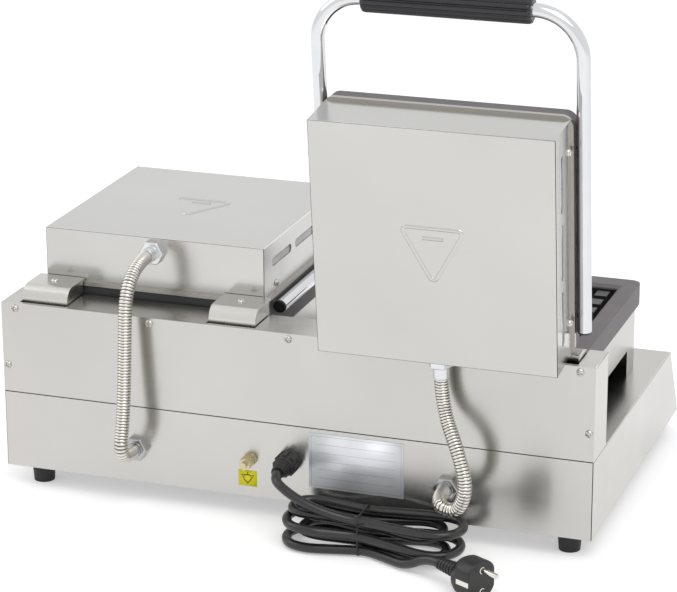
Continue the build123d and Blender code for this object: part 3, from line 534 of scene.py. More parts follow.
cordValues = {
    "diameter": 0.0085,
    "lead": [
        (0, 0.179, 0.0587), (-0.0010, 0.1910, 0.0583), (-0.0110, 0.2000, 0.0540),
        (-0.0320, 0.2055, 0.0452), (-0.0510, 0.2055, 0.0390), (-0.0670, 0.2030, 0.0347),
    ],
    "hankX": -0.082, "hankY": 0.185,
    "leftReach": (0.046, 0.039, 0.043, 0.049, 0.050),
    "rightReach": (0.053, 0.063, 0.050, 0.067),
    "rails": (0.026, 0.023, 0.016, 0.020, 0.029, 0.024, 0.015, 0.019, 0.026),
    "waist": (0.0155, 0.0105, 0.0055, 0.0105),
    "layer": 0.009, "floor": 0.00545, "runs": 9, "fold": 1.07,
    "tail": [
        (-0.091, 0.2005, 0.00545), (-0.109, 0.2085, 0.00545), (-0.130, 0.2185, 0.00545),
    ],
    "plugEntry": (-0.164, 0.2315, 0.0183), "plugYaw": 28.0, "plugRun": 0.015,
}


def hankPoints():
    # Folded runs of the tied hank, from the lowest run at its waist to the top run's end.
    v = cordValues
    points = []
    for run in range(v["runs"]):
        way = 1 if run % 2 else -1
        rail = -way * v["rails"][run]
        waist = -way * v["waist"][run % 4]
        ends = [v["leftReach"][run // 2], v["rightReach"][max(run - 1, 0) // 2]]
        if run % 2:
            ends.reverse()
        low = max((run - 1) // 2, 0) * v["layer"]
        high = min(run // 2, (v["runs"] - 3) // 2) * v["layer"]
        for share in (-1.0, -0.5, 0.0, 0.5, 1.0):
            if (run == 0 and share < 0) or (run == v["runs"] - 1 and share > 0):
                continue
            level = low + (high - low) * (share + 1) / 2
            x = v["hankX"] - way * share * ends[0 if share > 0 else 1]
            y = v["hankY"] + waist + (rail - waist) * abs(share)
            points.append((x, y, v["floor"] + level))
        if run == v["runs"] - 1:
            return points
        after = way * v["rails"][run + 1]
        radius = abs(rail - after) / 2
        for degrees in (45, 90, 135):
            t = math.radians(degrees)
            x = v["hankX"] - way * (ends[0] + v["fold"] * radius * math.sin(t))
            y = v["hankY"] + (rail + after) / 2 - way * v["fold"] * radius * math.cos(t)
            points.append((x, y, v["floor"] + high))


def plugWay():
    yaw = math.radians(cordValues["plugYaw"])
    return Vector((-math.cos(yaw), math.sin(yaw), 0))


def cordPoints():
    v = cordValues
    entry = Vector(v["plugEntry"])
    route = [*v["lead"], *reversed(hankPoints()), *v["tail"]]
    return [Vector(p) for p in route] + [entry - plugWay() * v["plugRun"], entry]


def splineCurve(name, points, radius, resolution=8):
    data = bpy.data.curves.new(name, "CURVE")
    data.dimensions = "3D"
    data.bevel_depth = radius
    data.bevel_resolution = 6
    data.resolution_u = resolution
    data.use_fill_caps = True
    spline = data.splines.new("NURBS")
    spline.points.add(len(points) - 1)
    for target, point in zip(spline.points, points):
        target.co = (*point, 1)
    spline.order_u = 3
    spline.use_endpoint_u = True
    return addObject(name, data)


def curveLength(points):
    # Length of the NURBS route, drawn once with no thickness.
    probe = splineCurve("probe", points, 0.0)
    mesh = plainMesh(probe)
    line = [v.co.copy() for v in mesh.vertices]
    bpy.data.objects.remove(probe)
    bpy.data.meshes.remove(mesh)
    return sum((b - a).length for a, b in zip(line, line[1:]))


def addCord():
    points = cordPoints()
    cord = splineCurve("supplyCord", points, cordValues["diameter"] / 2)
    cord.data.materials.append(finishes["cord"])
    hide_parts("cord_lead", "cord_hank", "cord_tail")
    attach(cord, "base")
    length = curveLength(points)
    print("cord length", round(length, 4))
    return cord, length


cordPiece, cordLength = addCord()
print("cord laid")


# Strain relief where the cord leaves the housing

gland = {
    "z": 0.0587, "nut": 0.0102, "tip": 0.0060, "length": 0.030, "sunk": -0.004, "bevel": 0.0003,
    "steps": (  # past the nut's radius, and height
        (0, 0.0002), (0.0005, 0.001), (0.0005, 0.0028), (-0.0006, 0.0034), (-0.0006, 0.014),
        (-0.0022, 0.0165),
    ),
    "rings": 5, "ringStart": 0.0172, "ringPitch": 0.0026, "ringInset": 0.0024, "ringTaper": 4.4,
    "ring": ((-0.0010, -0.0006), (-0.0010, 0), (0, 0.0003), (-0.0003, 0.0017)),
    "bars": 8, "barZ": 0.0088, "barInset": 0.0006, "bar": (0.0022, 0.0042, 0.0096),
}


def addCordGland():
    v = gland
    bm = bmesh.new()
    profile = [(0, v["sunk"]), (v["nut"], v["sunk"])]
    profile += [(v["nut"] + out, z) for out, z in v["steps"]]
    wide = v["nut"] - v["ringInset"]
    for k in range(v["rings"]):
        r = wide - (wide - v["tip"]) * k / v["ringTaper"]
        z = v["ringStart"] + k * v["ringPitch"]
        profile += [(r + out, z + rise) for out, rise in v["ring"]]
    latheInto(bm, profile + [(v["tip"], v["length"]), (0, v["length"])], 48)
    for k in range(v["bars"]):
        turn = Matrix.Rotation(2 * math.pi * k / v["bars"], 4, "Z")
        boxInto(bm, (v["nut"] - v["barInset"], 0, v["barZ"]), v["bar"], turn)
    place = Matrix.Translation((0, rearY, v["z"])) @ Matrix.Rotation(math.radians(-90), 4, "X")
    obj = fromBmesh("cordGlandPiece", bm, "blackMoulding", place)
    addBevel(obj, v["bevel"], 30)
    settle(obj)
    replace(obj, "cord_gland", "base")


addCordGland()


# Plug, with its ribbed relief, pins and earth clips

plug = {
    "relief": 0.022, "reliefStart": 0.0050, "reliefEnd": 0.007, "rings": 6, "neck": 0.0048,
    "ring": ((0, 0.10), (0, 0.62), (-0.0011, 0.70), (-0.0011, 0.98)),  # out, share of a pitch
    "radius": 0.018, "length": 0.028, "round": 0.0010, "bevel": 0.0004,
    "shoulder": ((0.0085, 0.0004), (0.0110, 0.0030), (0.0150, 0.0065), (0.0170, 0.0100)),
    "shoulderTop": 0.0125, "flat": 0.015, "flatten": 0.12,
    "slot": (0.0075, 0.0012, 0.0150), "slotDrop": 0.008, "slotSink": 0.0001,
    "clip": (0.0044, 0.0009, 0.0140), "clipDrop": 0.0075, "clipProud": 0.0004,
    "pitch": 0.019, "pin": 0.0024, "pinOut": 0.019,
    "collar": ((1.25, -0.0005), (1.25, 0.0006), (1, 0.0010)),  # share of radius, out of the face
    "pinTip": ((1, 0.0022), (0.82, 0.0007), (0.45, 0.0001), (0, 0)),  # share of radius, below tip
}
plugTop = plug["relief"] + plug["length"]


def plugPlace():
    # Frame at the cord's entry: Z along the plug, X upwards.
    way, up = plugWay(), Vector((0, 0, 1))
    turn = Matrix((up, way.cross(up), way)).transposed().to_4x4()
    return Matrix.Translation(cordValues["plugEntry"]) @ turn


def addPlug():
    v = plug
    bm = bmesh.new()
    profile = [(0, 0), (v["neck"], 0)]
    pitch = v["relief"] / v["rings"]
    for k in range(v["rings"]):
        r = v["reliefStart"] + (v["reliefEnd"] - v["reliefStart"]) * (k + 1) / v["rings"]
        profile += [(r + out, (k + share) * pitch) for out, share in v["ring"]]
    profile += [(r, v["relief"] + rise) for r, rise in v["shoulder"]]
    profile += [(v["radius"], v["relief"] + v["shoulderTop"]), (v["radius"], plugTop - v["round"])]
    profile += [(v["radius"] - v["round"], plugTop), (0, plugTop)]
    for vert in latheInto(bm, profile, 64):  # flats at the two sides
        past = abs(vert.co.y) - v["flat"]
        if vert.co.z > v["relief"] and past > 0:
            vert.co.y = math.copysign(v["flat"] + v["flatten"] * past, vert.co.y)
    for side in (-1, 1):
        centre = (0, side * (v["flat"] - v["slotSink"]), plugTop - v["slotDrop"])
        boxInto(bm, centre, v["slot"])
    obj = fromBmesh("plugPiece", bm, "plugBody", plugPlace(), 40)
    addBevel(obj, v["bevel"], 40)
    settle(obj)
    replace(obj, "plug", "base")
    return obj


def addPlugMetal():
    v = plug
    bm = bmesh.new()
    r, end = v["pin"], plugTop + v["pinOut"]
    shape = [(r * share, plugTop + rise) for share, rise in v["collar"]]
    shape += [(r * share, end - drop) for share, drop in v["pinTip"]]
    for side in (-1, 1):
        latheInto(bm, shape, 24, Matrix.Translation((side * v["pitch"] / 2, 0, 0)))
        centre = (0, side * (v["flat"] + v["clipProud"]), plugTop - v["clipDrop"])
        boxInto(bm, centre, v["clip"])
    obj = fromBmesh("plugMetal", bm, "pins", plugPlace())
    replace(obj, "plug_pins", "base")
    return obj


plugPiece, plugMetal = addPlug(), addPlugMetal()


# Tie round the hank, with its twisted ends

tie = {
    "inset": 0.0006, "lift": 0.0012, "corner": 0.0045, "wire": 0.0009, "endWire": 0.0007,
    "endDrop": 0.008, "ends": ((-0.002, 0.002, 0.002), (-0.006, 0.0018, 0.004)),
}


def addTie():
    v = tie
    low, high = boxOf("cord_tie")
    y0, y1 = low.y + v["inset"], high.y - v["inset"]
    z0, z1 = low.z + v["lift"], high.z - v["inset"]
    x = (low.x + high.x) / 2
    corners = [(x, y1, z0), (x, y1, z1), (x, y0, z1), (x, y0, z0)]
    bm = bmesh.new()
    tubeInto(bm, roundLoop(corners, v["corner"], 6), v["wire"], 10)
    end = Vector((x, y1, z1 - v["endDrop"]))
    tubeInto(bm, [end] + [end + Vector(p) for p in v["ends"]], v["endWire"], 8)
    obj = fromBmesh("hankTie", bm, "blackMoulding")
    replace(obj, "cord_tie", "base")
    return obj


tiePiece = addTie()
cordPoints()[0]
print("plug and tie made")


# Plain finishes for the CAD nodes that stay as they are

plainNodes = {
    "base_floor": "floorSteel", "feet": "feet", "hinge_brackets": "bracketSteel",
    "terminal_block": "paleBlock", "control_bodies": "blackMoulding", "pilot_lamps": "lens",
    "bonding_terminal": "brass",
}
sideNodes = {
    "lower_element": "heater", "upper_element": "heater", "hinge_pin": "screwSteel",
    "handle_plugs": "blackMoulding", "hinge_knuckles": "bracketSteel",
}


def paint(node, finish):
    materials = nodes[node].data.materials
    materials.clear()
    materials.append(finishes[finish])


for nodeName, finishName in plainNodes.items():
    paint(nodeName, finishName)
for sideName in sides:
    for nodeName, finishName in sideNodes.items():
        paint(f"{sideName}_{nodeName}", finishName)


# Sheet-metal and cast pieces with eased edges: body, finish, width

eased = {
    "base_chassis": ("base", "bodySteel", 0.0006),
    "hinge_housing": ("base", "bodySteel", 0.0006),
    "rear_panel": ("base", "bodySteel", 0.0003),
    "switch_bodies": ("base", "blackMoulding", 0.0003),
}
easedSides = {
    "lower_skirt": ("base", "sideSteel", 0.0005),
    "lower_plate": ("base", "iron", 0.0007),
    "upper_plate": ("lid", "iron", 0.0007),
    "lid_frame": ("lid", "frameSteel", 0.0004),
    "lid_cover": ("lid", "lidSteel", 0.0005),
    "hinge_straps": ("lid", "strapSteel", 0.0004),
    "rocker": ("rocker", "rocker", 0.0004),
    "lid_gland": ("lid", "paleNickel", 0.0003),
    "base_gland": ("base", "nickel", 0.0003),
}
easing = {"merge": 1e-6, "flat": 0.6, "angle": 28.0}
edged = {"bodySteel", "lidSteel"}  # sheets whose fold bevels get a painted highlight where they face up and painted shade elsewhere
fold = {"long": 0.02, "turn": 20.0, "area": 0.0012, "upward": 0.45}
plateFace = {"y": -0.004, "z": 0.171, "reach": (0.0895, 0.0855), "rear": 0.1074}


def isFold(edge):
    # A long outer edge between large faces.
    large = all(face.calc_area() > fold["area"] for face in edge.link_faces)
    sharp = edge.is_convex and edge.calc_face_angle(0) > math.radians(fold["turn"])
    return large and sharp and edge.calc_length() > fold["long"]


def softEdges(node, body, finish, width):
    # A copy of a CAD node with its points merged, flat faces joined and its edges eased.
    v = easing
    bm = bmesh.new()
    bm.from_mesh(nodes[node].data)
    bmesh.ops.remove_doubles(bm, verts=bm.verts, dist=v["merge"])
    flat = math.radians(v["flat"])
    bmesh.ops.dissolve_limit(
        bm, angle_limit=flat, verts=bm.verts, edges=bm.edges, delimit={"NORMAL"}
    )
    weight = bm.edges.layers.float.new("bevel_weight_edge")
    for edge in bm.edges:
        edge[weight] = float(isFold(edge))
    obj = fromBmesh(node + "Piece", bm, finish, sharp=v["angle"])
    bevel = addBevel(obj, width, v["angle"])
    if finish in edged:
        bevel.limit_method = "WEIGHT"
        bevel.use_clamp_overlap = False
        bevel.harden_normals = True
        for edge in ("edgeSteel", "shadeEdge"):
            obj.data.materials.append(finishes[edge])
        bevel.material = 1
    settle(obj)
    # Bevel faces that don't face up take the near-black edge as painted shade; upward ones keep the
    # near-white painted highlight.
    for face in obj.data.polygons:
        if face.material_index == 1 and face.normal.z < fold["upward"]:
            face.material_index = 2
    replace(obj, node, body)


def ironFor(side, upper):
    # The casting's material, centred on this plate's own face.
    face = Vector((0, plateFace["y"], plateFace["z"]))
    place = lidPlace(side) if upper else Matrix.Translation((middleOf(side), 0, 0))
    normal = place.to_3x3() @ Vector((0, 0, -1 if upper else 1))
    name = f"iron{side.title()}{'Upper' if upper else 'Lower'}"
    rear = (-1 if upper else 1, plateFace["rear"])
    finishes[name] = castIron(name, tuple(place @ face), tuple(normal), plateFace["reach"], rear)
    return name


for nodeName, row in eased.items():
    softEdges(nodeName, *row)
for sideName in sides:
    for nodeName, (bodyName, finishName, width) in easedSides.items():
        body = bodyName if bodyName == "base" else f"{sideName}_{bodyName}"
        upper = nodeName.startswith("upper")
        finish = ironFor(sideName, upper) if finishName == "iron" else finishName
        softEdges(f"{sideName}_{nodeName}", body, finish, width)
print("sheet and cast pieces eased")


# Control knobs: ribbed skirt, raised hub and grip bar

panel = {"y": -0.16797, "z": 0.05236, "up": (0, 0.4848, 0.8746), "out": (0, -0.8746, 0.4848)}
dialOffset = {"thermostat": -0.024, "timer": 0.032}
knob = {
    "gap": 0.0006, "radius": 0.0165, "foot": 0.0035, "bar": 0.0090, "rise": 0.0170, "ease": 0.0012,
    "ribs": 60, "rib": 0.00035, "ribFrom": 0.0167, "easeSteps": 4, "endSteps": 14,
    "skirt": (
        (0, 0), (0.0176, 0), (0.0180, 0.0004), (0.0171, 0.0034), (0.0165, 0.0040),
        (0.0130, 0.0040), (0.0118, 0.0048), (0.0110, 0.0060), (0.0102, 0.0066), (0, 0.0066),
    ),
}


def panelPlace(side, x, rise=0.0):
    # Frame on a station's sloping panel: X across, Y up the slope, Z out of it.
    turn = Matrix(((1, 0, 0), panel["up"], panel["out"])).transposed().to_4x4()
    spot = Vector((middleOf(side) + x, panel["y"], panel["z"]))
    return Matrix.Translation(spot + Vector(panel["out"]) * rise) @ turn


def skirtInto(bm):
    # Closed disc with a finely ribbed rim and a low hub.
    v = knob
    steps = v["ribs"] * 4
    for vert in latheInto(bm, v["skirt"], steps):
        spread = math.hypot(vert.co.x, vert.co.y)
        k = round(math.atan2(vert.co.y, vert.co.x) / (2 * math.pi) * steps)
        if spread > v["ribFrom"] and k % 4 == 0:
            vert.co.xy = vert.co.xy * (1 - v["rib"] / spread)


def gripBarInto(bm):
    # Straight sides and round ends, inside the knob's circle, with an eased top.
    v = knob
    spread = math.asin(v["bar"] / 2 / v["radius"])
    outline = []
    for start in (math.pi / 2, -math.pi / 2):
        for k in range(v["endSteps"] + 1):
            t = start + spread - 2 * spread * k / v["endSteps"]
            outline.append((v["radius"] * math.cos(t), v["radius"] * math.sin(t)))
    levels = [(v["foot"], 0.0)]
    for k in range(v["easeSteps"] + 1):
        t = math.pi / 2 * k / v["easeSteps"]
        levels.append((v["rise"] - v["ease"] * (1 - math.sin(t)), v["ease"] * (1 - math.cos(t))))
    rings = []
    for z, inset in levels:
        share = 1 - inset / v["radius"]
        spots = [(x - math.copysign(inset, x), y * share, z) for x, y in outline]
        rings.append([bm.verts.new(spot) for spot in spots])
    skinInto(bm, rings, True)


def addKnob(side, dial):
    bm = bmesh.new()
    skirtInto(bm)
    gripBarInto(bm)
    place = panelPlace(side, dialOffset[dial], knob["gap"])
    obj = fromBmesh(f"{side}{dial.title()}KnobPiece", bm, "knob", place, 30)
    replace(obj, f"{side}_{dial}_knob", f"{side}_{dial}_knob")


for sideName in sides:
    for dialName in dialOffset:
        addKnob(sideName, dialName)
print("knobs made")


# Handles: bent tube and fluted grip

handle = {
    "radius": 0.006, "bend": 0.040, "sides": 36, "bendSteps": 20, "gripRadius": 0.01175,
    "flutes": 12, "flute": 0.0016, "fluteShare": 0.5, "fluteSteps": 14, "bore": 0.0061,
    "ends": ((0, 0.82), (0.0006, 0.92), (0.002, 0.985), (0.0035, 1.0)),  # along, share of radius
}


def fluteAt(k):
    # Depth of the grip's flute at one of its points; nought off is the flute's middle.
    v = handle
    off = abs(k % v["fluteSteps"] / v["fluteSteps"] - 0.5) / (v["fluteShare"] / 2)
    return v["flute"] * (1 - off * off) if off < 1 else 0.0


def addHandle(side):
    v = handle
    low, high = boxOf("right_handle_tube")
    arm = (high.x - low.x) / 2 - v["radius"]
    front, rear, z = low.y + v["radius"], high.y, (low.z + high.z) / 2
    corners = [(-arm, rear, z), (-arm, front, z), (arm, front, z), (arm, rear, z)]
    bm = bmesh.new()
    line = roundCorners(corners, v["bend"], v["bendSteps"])
    tubeInto(bm, line, v["radius"], v["sides"], caps=False)
    tube = fromBmesh(f"{side}HandleTube", bm, "chrome", lidPlace(side))
    replace(tube, f"{side}_handle_tube", f"{side}_lid")
    low, high = boxOf("right_handle_grip")
    half = (high.x - low.x) / 2
    depths = [fluteAt(k) for k in range(v["flutes"] * v["fluteSteps"])]
    spots = circle(len(depths))
    shapes = [(x - half, [(v["gripRadius"] - d) * share for d in depths]) for x, share in v["ends"]]
    shapes += [(-x, radii) for x, radii in reversed(shapes)]
    bore = [v["bore"]] * len(depths)  # closed down to the tube
    bm = bmesh.new()
    rings = []
    for x, radii in [(-half, bore), *shapes, (half, bore)]:
        pairs = zip(radii, spots)
        rings.append([bm.verts.new((x, front + r * c, z + r * s)) for r, (c, s) in pairs])
    skinInto(bm, rings)
    grip = fromBmesh(f"{side}HandleGrip", bm, "grip", lidPlace(side), 60)
    replace(grip, f"{side}_handle_grip", f"{side}_lid")


for sideName in sides:
    addHandle(sideName)
print("handles made")


# Geometry Nodes helper

class Tree(NodeSet):
    # A geometry tree with named inputs, which ends in real, painted geometry.
    def __init__(self, name, inputs):
        super().__init__(bpy.data.node_groups.new(name, "GeometryNodeTree"))
        face = self.tree.interface
        face.new_socket("Geometry", in_out="INPUT", socket_type="NodeSocketGeometry")
        self.ids = {}
        for key, kind in inputs.items():
            socket = face.new_socket(key, in_out="INPUT", socket_type="NodeSocket" + kind)
            self.ids[key] = socket.identifier
        face.new_socket("Geometry", in_out="OUTPUT", socket_type="NodeSocketGeometry")
        self.ins = self.add("NodeGroupInput").outputs

    def named(self, name, kind):
        node = self.add("GeometryNodeInputNamedAttribute", {"Name": name}, data_type=kind)
        return node.outputs["Attribute"]

    def finish(self, geometry):
        real = self.add("GeometryNodeRealizeInstances", {"Geometry": geometry})
        feeds = {"Geometry": real.outputs[0], "Material": self.ins["Material"]}
        self.add("NodeGroupOutput", {0: self.add("GeometryNodeSetMaterial", feeds).outputs[0]})
        return self


def applyTree(obj, tree, values):
    modifier = obj.modifiers.new("nodes", "NODES")
    modifier.node_group = tree.tree
    for key, value in values.items():
        modifier[tree.ids[key]] = value
    obj.update_tag()
    mesh = plainMesh(obj)
    name = obj.name
    bpy.data.objects.remove(obj)
    return addObject(name, mesh)


# Ribbed steel conduits

conduit = {
    "pitch": 0.0027, "crest": 0.0062, "root": 0.0053, "steps": 6, "sides": 28, "low": 0.3,
    "lidEnd": (0, 0.1196, 0.223), "baseEnd": (0.161, 0.053),
    "runs": {"left": (0.028, 0.027), "right": (0.046, 0.030)},  # straight out of both fittings
    "middle": {
        "left": ((-0.022, 0.189, 0.101), (-0.031, 0.194, 0.072), (-0.022, 0.192, 0.048)),
        "right": ((-0.001, 0.175, 0.142), (-0.001, 0.181, 0.095)),
    },
    "still": {"left": (0.161, 0.053), "right": (0.210, 0.170)},  # Y and Z of a point on each conduit
}


def ribTree():
    # Rings of two radii along a curve; the groove attribute marks the low ones.
    kinds = {"Pitch": "Float", "Crest": "Float", "Root": "Float", "Steps": "Int", "Sides": "Int"}
    tree = Tree("hoseRibs", {**kinds, "Material": "Material"})
    ins = tree.ins
    feeds = {"Curve": ins["Geometry"], "Length": tree.math("DIVIDE", ins["Pitch"], ins["Steps"])}
    resample = tree.add("GeometryNodeResampleCurve", feeds, mode="LENGTH")
    index = tree.add("GeometryNodeInputIndex").outputs[0]
    phase = tree.math("DIVIDE", tree.math("MODULO", index, ins["Steps"]), ins["Steps"])
    low = tree.math("LESS_THAN", phase, conduit["low"])
    height = tree.math("SUBTRACT", ins["Crest"], ins["Root"])
    radius = tree.math("SUBTRACT", ins["Crest"], tree.math("MULTIPLY", low, height))
    feeds = {"Geometry": resample.outputs[0], "Name": "groove", "Value": low}
    mark = tree.add("GeometryNodeStoreNamedAttribute", feeds, data_type="FLOAT", domain="POINT")
    feeds = {"Curve": mark.outputs[0], "Radius": radius}
    sized = tree.add("GeometryNodeSetCurveRadius", feeds).outputs[0]
    feeds = {"Resolution": ins["Sides"], "Radius": 1.0}
    circle = tree.add("GeometryNodeCurvePrimitiveCircle", feeds).outputs["Curve"]
    feeds = {"Curve": sized, "Profile Curve": circle, "Fill Caps": True}
    feeds["Scale"] = tree.add("GeometryNodeInputRadius").outputs[0]
    return tree.finish(tree.add("GeometryNodeCurveToMesh", feeds).outputs["Mesh"])


def hosePoints(side):
    # The CAD route's corners in metres.
    v = conduit
    x, place = middleOf(side), lidPlace(side)
    start, end = place @ Vector(v["lidEnd"]), Vector((x, *v["baseEnd"]))
    lidRun, baseRun = v["runs"][side]
    middle = [Vector((x + shift, y, z)) for shift, y, z in v["middle"][side]]
    first = start + place.to_3x3() @ Vector((0, lidRun, 0))
    return [start, first, *middle, end + Vector((0, baseRun, 0)), end]


def addConduit(side, tree):
    v = conduit
    points = hosePoints(side)
    out = applyTree(splineCurve(f"{side}Hose", points, 0.0, resolution=12), tree, {
        "Pitch": v["pitch"], "Crest": v["crest"], "Root": v["root"],
        "Steps": v["steps"], "Sides": v["sides"], "Material": finishes["hoseSteel"],
    })
    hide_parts(f"{side}_conduit")
    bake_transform(out)


hoseTree = ribTree()
for sideName in sides:
    addConduit(sideName, hoseTree)
print("conduits made")


# Screws with cross recesses, placed by Geometry Nodes

screw = {
    "head": 0.0035, "height": 0.0022, "recess": 0.0011, "arm": 0.00055, "reach": 0.0021,
    "dome": 2.6, "sunk": -0.0004, "sides": 32, "turn": 1.57, "seed": 7,
    "rings": (0.0, 0.12, 0.22, 0.34, 0.46, 0.58, 0.70, 0.80, 0.90, 0.97, 1.0),
}
bodySpots = {
    "topX": (-0.2615, -0.13075, 0, 0.13075, 0.2615), "topZ": 0.1725,
    "sideX": (-0.2705, 0.2705), "sideZ": 0.118, "footInset": 0.011, "footZ": 0.006,
    "footSize": 0.9,
}
lidSpots = {  # in the shut lid: X, Y, Z, way, size; each on both sides
    "coverSide": (0.1055, (0.070, -0.084), 0.195, (1, 0, 0), 1.0),
    "strapTop": (0.090, (0.119, 0.083), 0.1915, (0, 0, 1), 1.0),
    "frameSide": (0.1158, (0.071, -0.082), 0.178, (1, 0, 0), 0.78),
}


def screwHead():
    v = screw
    bm = bmesh.new()
    rings = []
    for share in v["rings"]:
        rise = v["height"] * math.sqrt(max(0.0, 1 - share ** v["dome"]))
        ring = []
        for c, s in circle(v["sides"]) if share else [(0, 0)]:
            x, y = share * v["head"] * c, share * v["head"] * s
            near, far = sorted((abs(x), abs(y)))
            cut = v["recess"] if near < v["arm"] and far < v["reach"] else 0.0
            ring.append(bm.verts.new((x, y, max(rise - cut, 0.0))))
        rings.append(ring)
    rings.append([bm.verts.new((vert.co.x, vert.co.y, v["sunk"])) for vert in rings[-1]])
    skinInto(bm, rings)
    bm.faces.new(rings[-1])
    obj = fromBmesh("screwHead", bm, "screwSteel", None, 50)
    obj.hide_render = True
    return obj


def screwTree(head):
    tree = Tree("screwField", {"Size": "Float", "Material": "Material"})
    info = tree.add("GeometryNodeObjectInfo", {"Object": head, "As Instance": True})
    way = tree.named("way", "FLOAT_VECTOR")
    align = tree.add("FunctionNodeAlignRotationToVector", {"Vector": way}, axis="Z")
    feeds = {"Max": screw["turn"], "Seed": screw["seed"]}
    twist = tree.add("FunctionNodeRandomValue", feeds, data_type="FLOAT")
    feeds = {"Axis": (0, 0, 1), "Angle": twist.outputs[1]}
    spin = tree.add("FunctionNodeAxisAngleToRotation", feeds)
    feeds = {"Rotation": align.outputs[0], "Rotate By": spin.outputs[0]}
    both = tree.add("FunctionNodeRotateRotation", feeds, rotation_space="LOCAL")
    size = tree.math("MULTIPLY", tree.named("size", "FLOAT"), tree.ins["Size"])
    place = tree.add("GeometryNodeInstanceOnPoints", {
        "Points": tree.ins["Geometry"], "Instance": info.outputs["Geometry"],
        "Rotation": both.outputs[0], "Scale": size,
    })
    return tree.finish(place.outputs[0])


def screwField(name, spots, tree):
    mesh = bpy.data.meshes.new(name)
    mesh.from_pydata([p for p, _, _ in spots], [], [])
    ways = mesh.attributes.new("way", "FLOAT_VECTOR", "POINT").data
    ways.foreach_set("vector", [c for _, way, _ in spots for c in way])
    sizes = mesh.attributes.new("size", "FLOAT", "POINT").data
    sizes.foreach_set("value", [size for _, _, size in spots])
    values = {"Material": finishes["screwSteel"], "Size": 1.0}
    return applyTree(addObject(name, mesh), tree, values)


def bodyScrewSpots():
    v = bodySpots
    spots = [((x, rearY, v["topZ"]), (0, 1, 0), 1.0) for x in v["topX"]]
    spots += [((x, rearY, v["sideZ"]), (0, 1, 0), 1.0) for x in v["sideX"]]
    low, high = boxOf("feet")
    for x in (low.x + v["footInset"], high.x - v["footInset"]):
        for y in (low.y + v["footInset"], high.y - v["footInset"]):
            spots.append(((x, y, v["footZ"]), (0, 0, -1), v["footSize"]))
    return spots


def lidScrewSpots(side):
    place = lidPlace(side)
    turn = place.to_3x3()
    spots = []
    for s in (-1, 1):
        for x, ys, z, way, size in lidSpots.values():
            normal = turn @ Vector((s * way[0], way[1], way[2]))
            spots += [(tuple(place @ Vector((s * x, y, z))), tuple(normal), size) for y in ys]
    return spots


headObject = screwHead()
fieldTree = screwTree(headObject)
replace(screwField("bodyScrews", bodyScrewSpots(), fieldTree), "body_screws", "base")
for sideName in sides:
    lidScrews = screwField(f"{sideName}LidScrews", lidScrewSpots(sideName), fieldTree)
    replace(lidScrews, f"{sideName}_lid_screws", f"{sideName}_lid")
bpy.data.objects.remove(headObject)
print("screws placed")


# Insulation behind the lids' vent slots

pad = {
    "side": 0.1038, "thick": 0.003, "y": (-0.096, 0.088), "z": (0.205, 0.229), "cuts": 14,
    "slack": 0.0003, "waves": ((190, 70), (-45, 260)),  # turns a metre along Y and Z
}


def addPads(side):
    v = pad
    (y0, y1), (z0, z1) = v["y"], v["z"]
    bm = bmesh.new()
    for s in (-1, 1):
        centre = (s * (v["side"] - v["thick"] / 2), (y0 + y1) / 2, (z0 + z1) / 2)
        made = boxInto(bm, centre, (v["thick"], y1 - y0, z1 - z0))
        edges = list({e for vert in made for e in vert.link_edges})
        bmesh.ops.subdivide_edges(bm, edges=edges, cuts=v["cuts"], use_grid_fill=True)
    for vert in bm.verts:  # slack of the pressed wool
        first, second = (a * vert.co.y + b * vert.co.z for a, b in v["waves"])
        vert.co.x += v["slack"] * math.sin(first) * math.cos(second)
    dress(fromBmesh(f"{side}LidPads", bm, "padWool", lidPlace(side)), f"{side}_lid")


for sideName in sides:
    addPads(sideName)
print("pads placed")


# Labels on the rear: a bare data plate with ruled rows, and the bonding mark

dataPlate = {
    "x": (-0.1061, -0.0186), "z": (0.0366, 0.0880), "y": 0.1501, "thick": 0.0004,
    "margin": 0.0022, "line": 0.00022, "rows": 5, "indent": 0.008,
}
bondLabel = {
    "x": (0.0308, 0.0482), "z": (0.0297, 0.0447), "y": 0.1501, "thick": 0.0002,
    "ring": 0.0036, "ringUp": 0.0002, "ringSteps": 20, "stroke": 0.0005,
    "lines": (  # about the label's middle, seen from behind
        ((-0.0058, 0.0030), (0.0058, 0.0030)), ((-0.0058, 0.0030), (0, -0.0052)),
        ((0.0058, 0.0030), (0, -0.0052)), ((0, 0.0030), (0, 0.0062)),
    ),
}


def addPlate(name, finish, values):
    # A thin plate on the rear.
    (x0, x1), (z0, z1), y, t = values["x"], values["z"], values["y"], values["thick"]
    bm = bmesh.new()
    boxInto(bm, ((x0 + x1) / 2, y + t / 2, (z0 + z1) / 2), (x1 - x0, t, z1 - z0))
    dress(fromBmesh(name, bm, finish), "base")


def addDataPlate():
    v = dataPlate
    (x0, x1), (z0, z1), m, w = v["x"], v["z"], v["margin"], v["line"]
    left, right, low, high = x0 + m, x1 - m, z0 + m, z1 - m
    lines = [
        (left, right, high - w, high), (left, right, low, low + w),
        (left, left + w, low, high), (right - w, right, low, high),
    ]
    for row in range(1, v["rows"] + 1):
        z = low + (high - low) * row / (v["rows"] + 1)
        lines.append((x0 + v["indent"], x1 - v["indent"], z, z + w))
    base, ink = (0.85, 0.87, 0.91), (0.26, 0.27, 0.30)
    finishes["dataPlate"] = printedPlate("dataPlate", base, 0.42, 0.35, ink, lines)
    addPlate("dataPlate", "dataPlate", v)


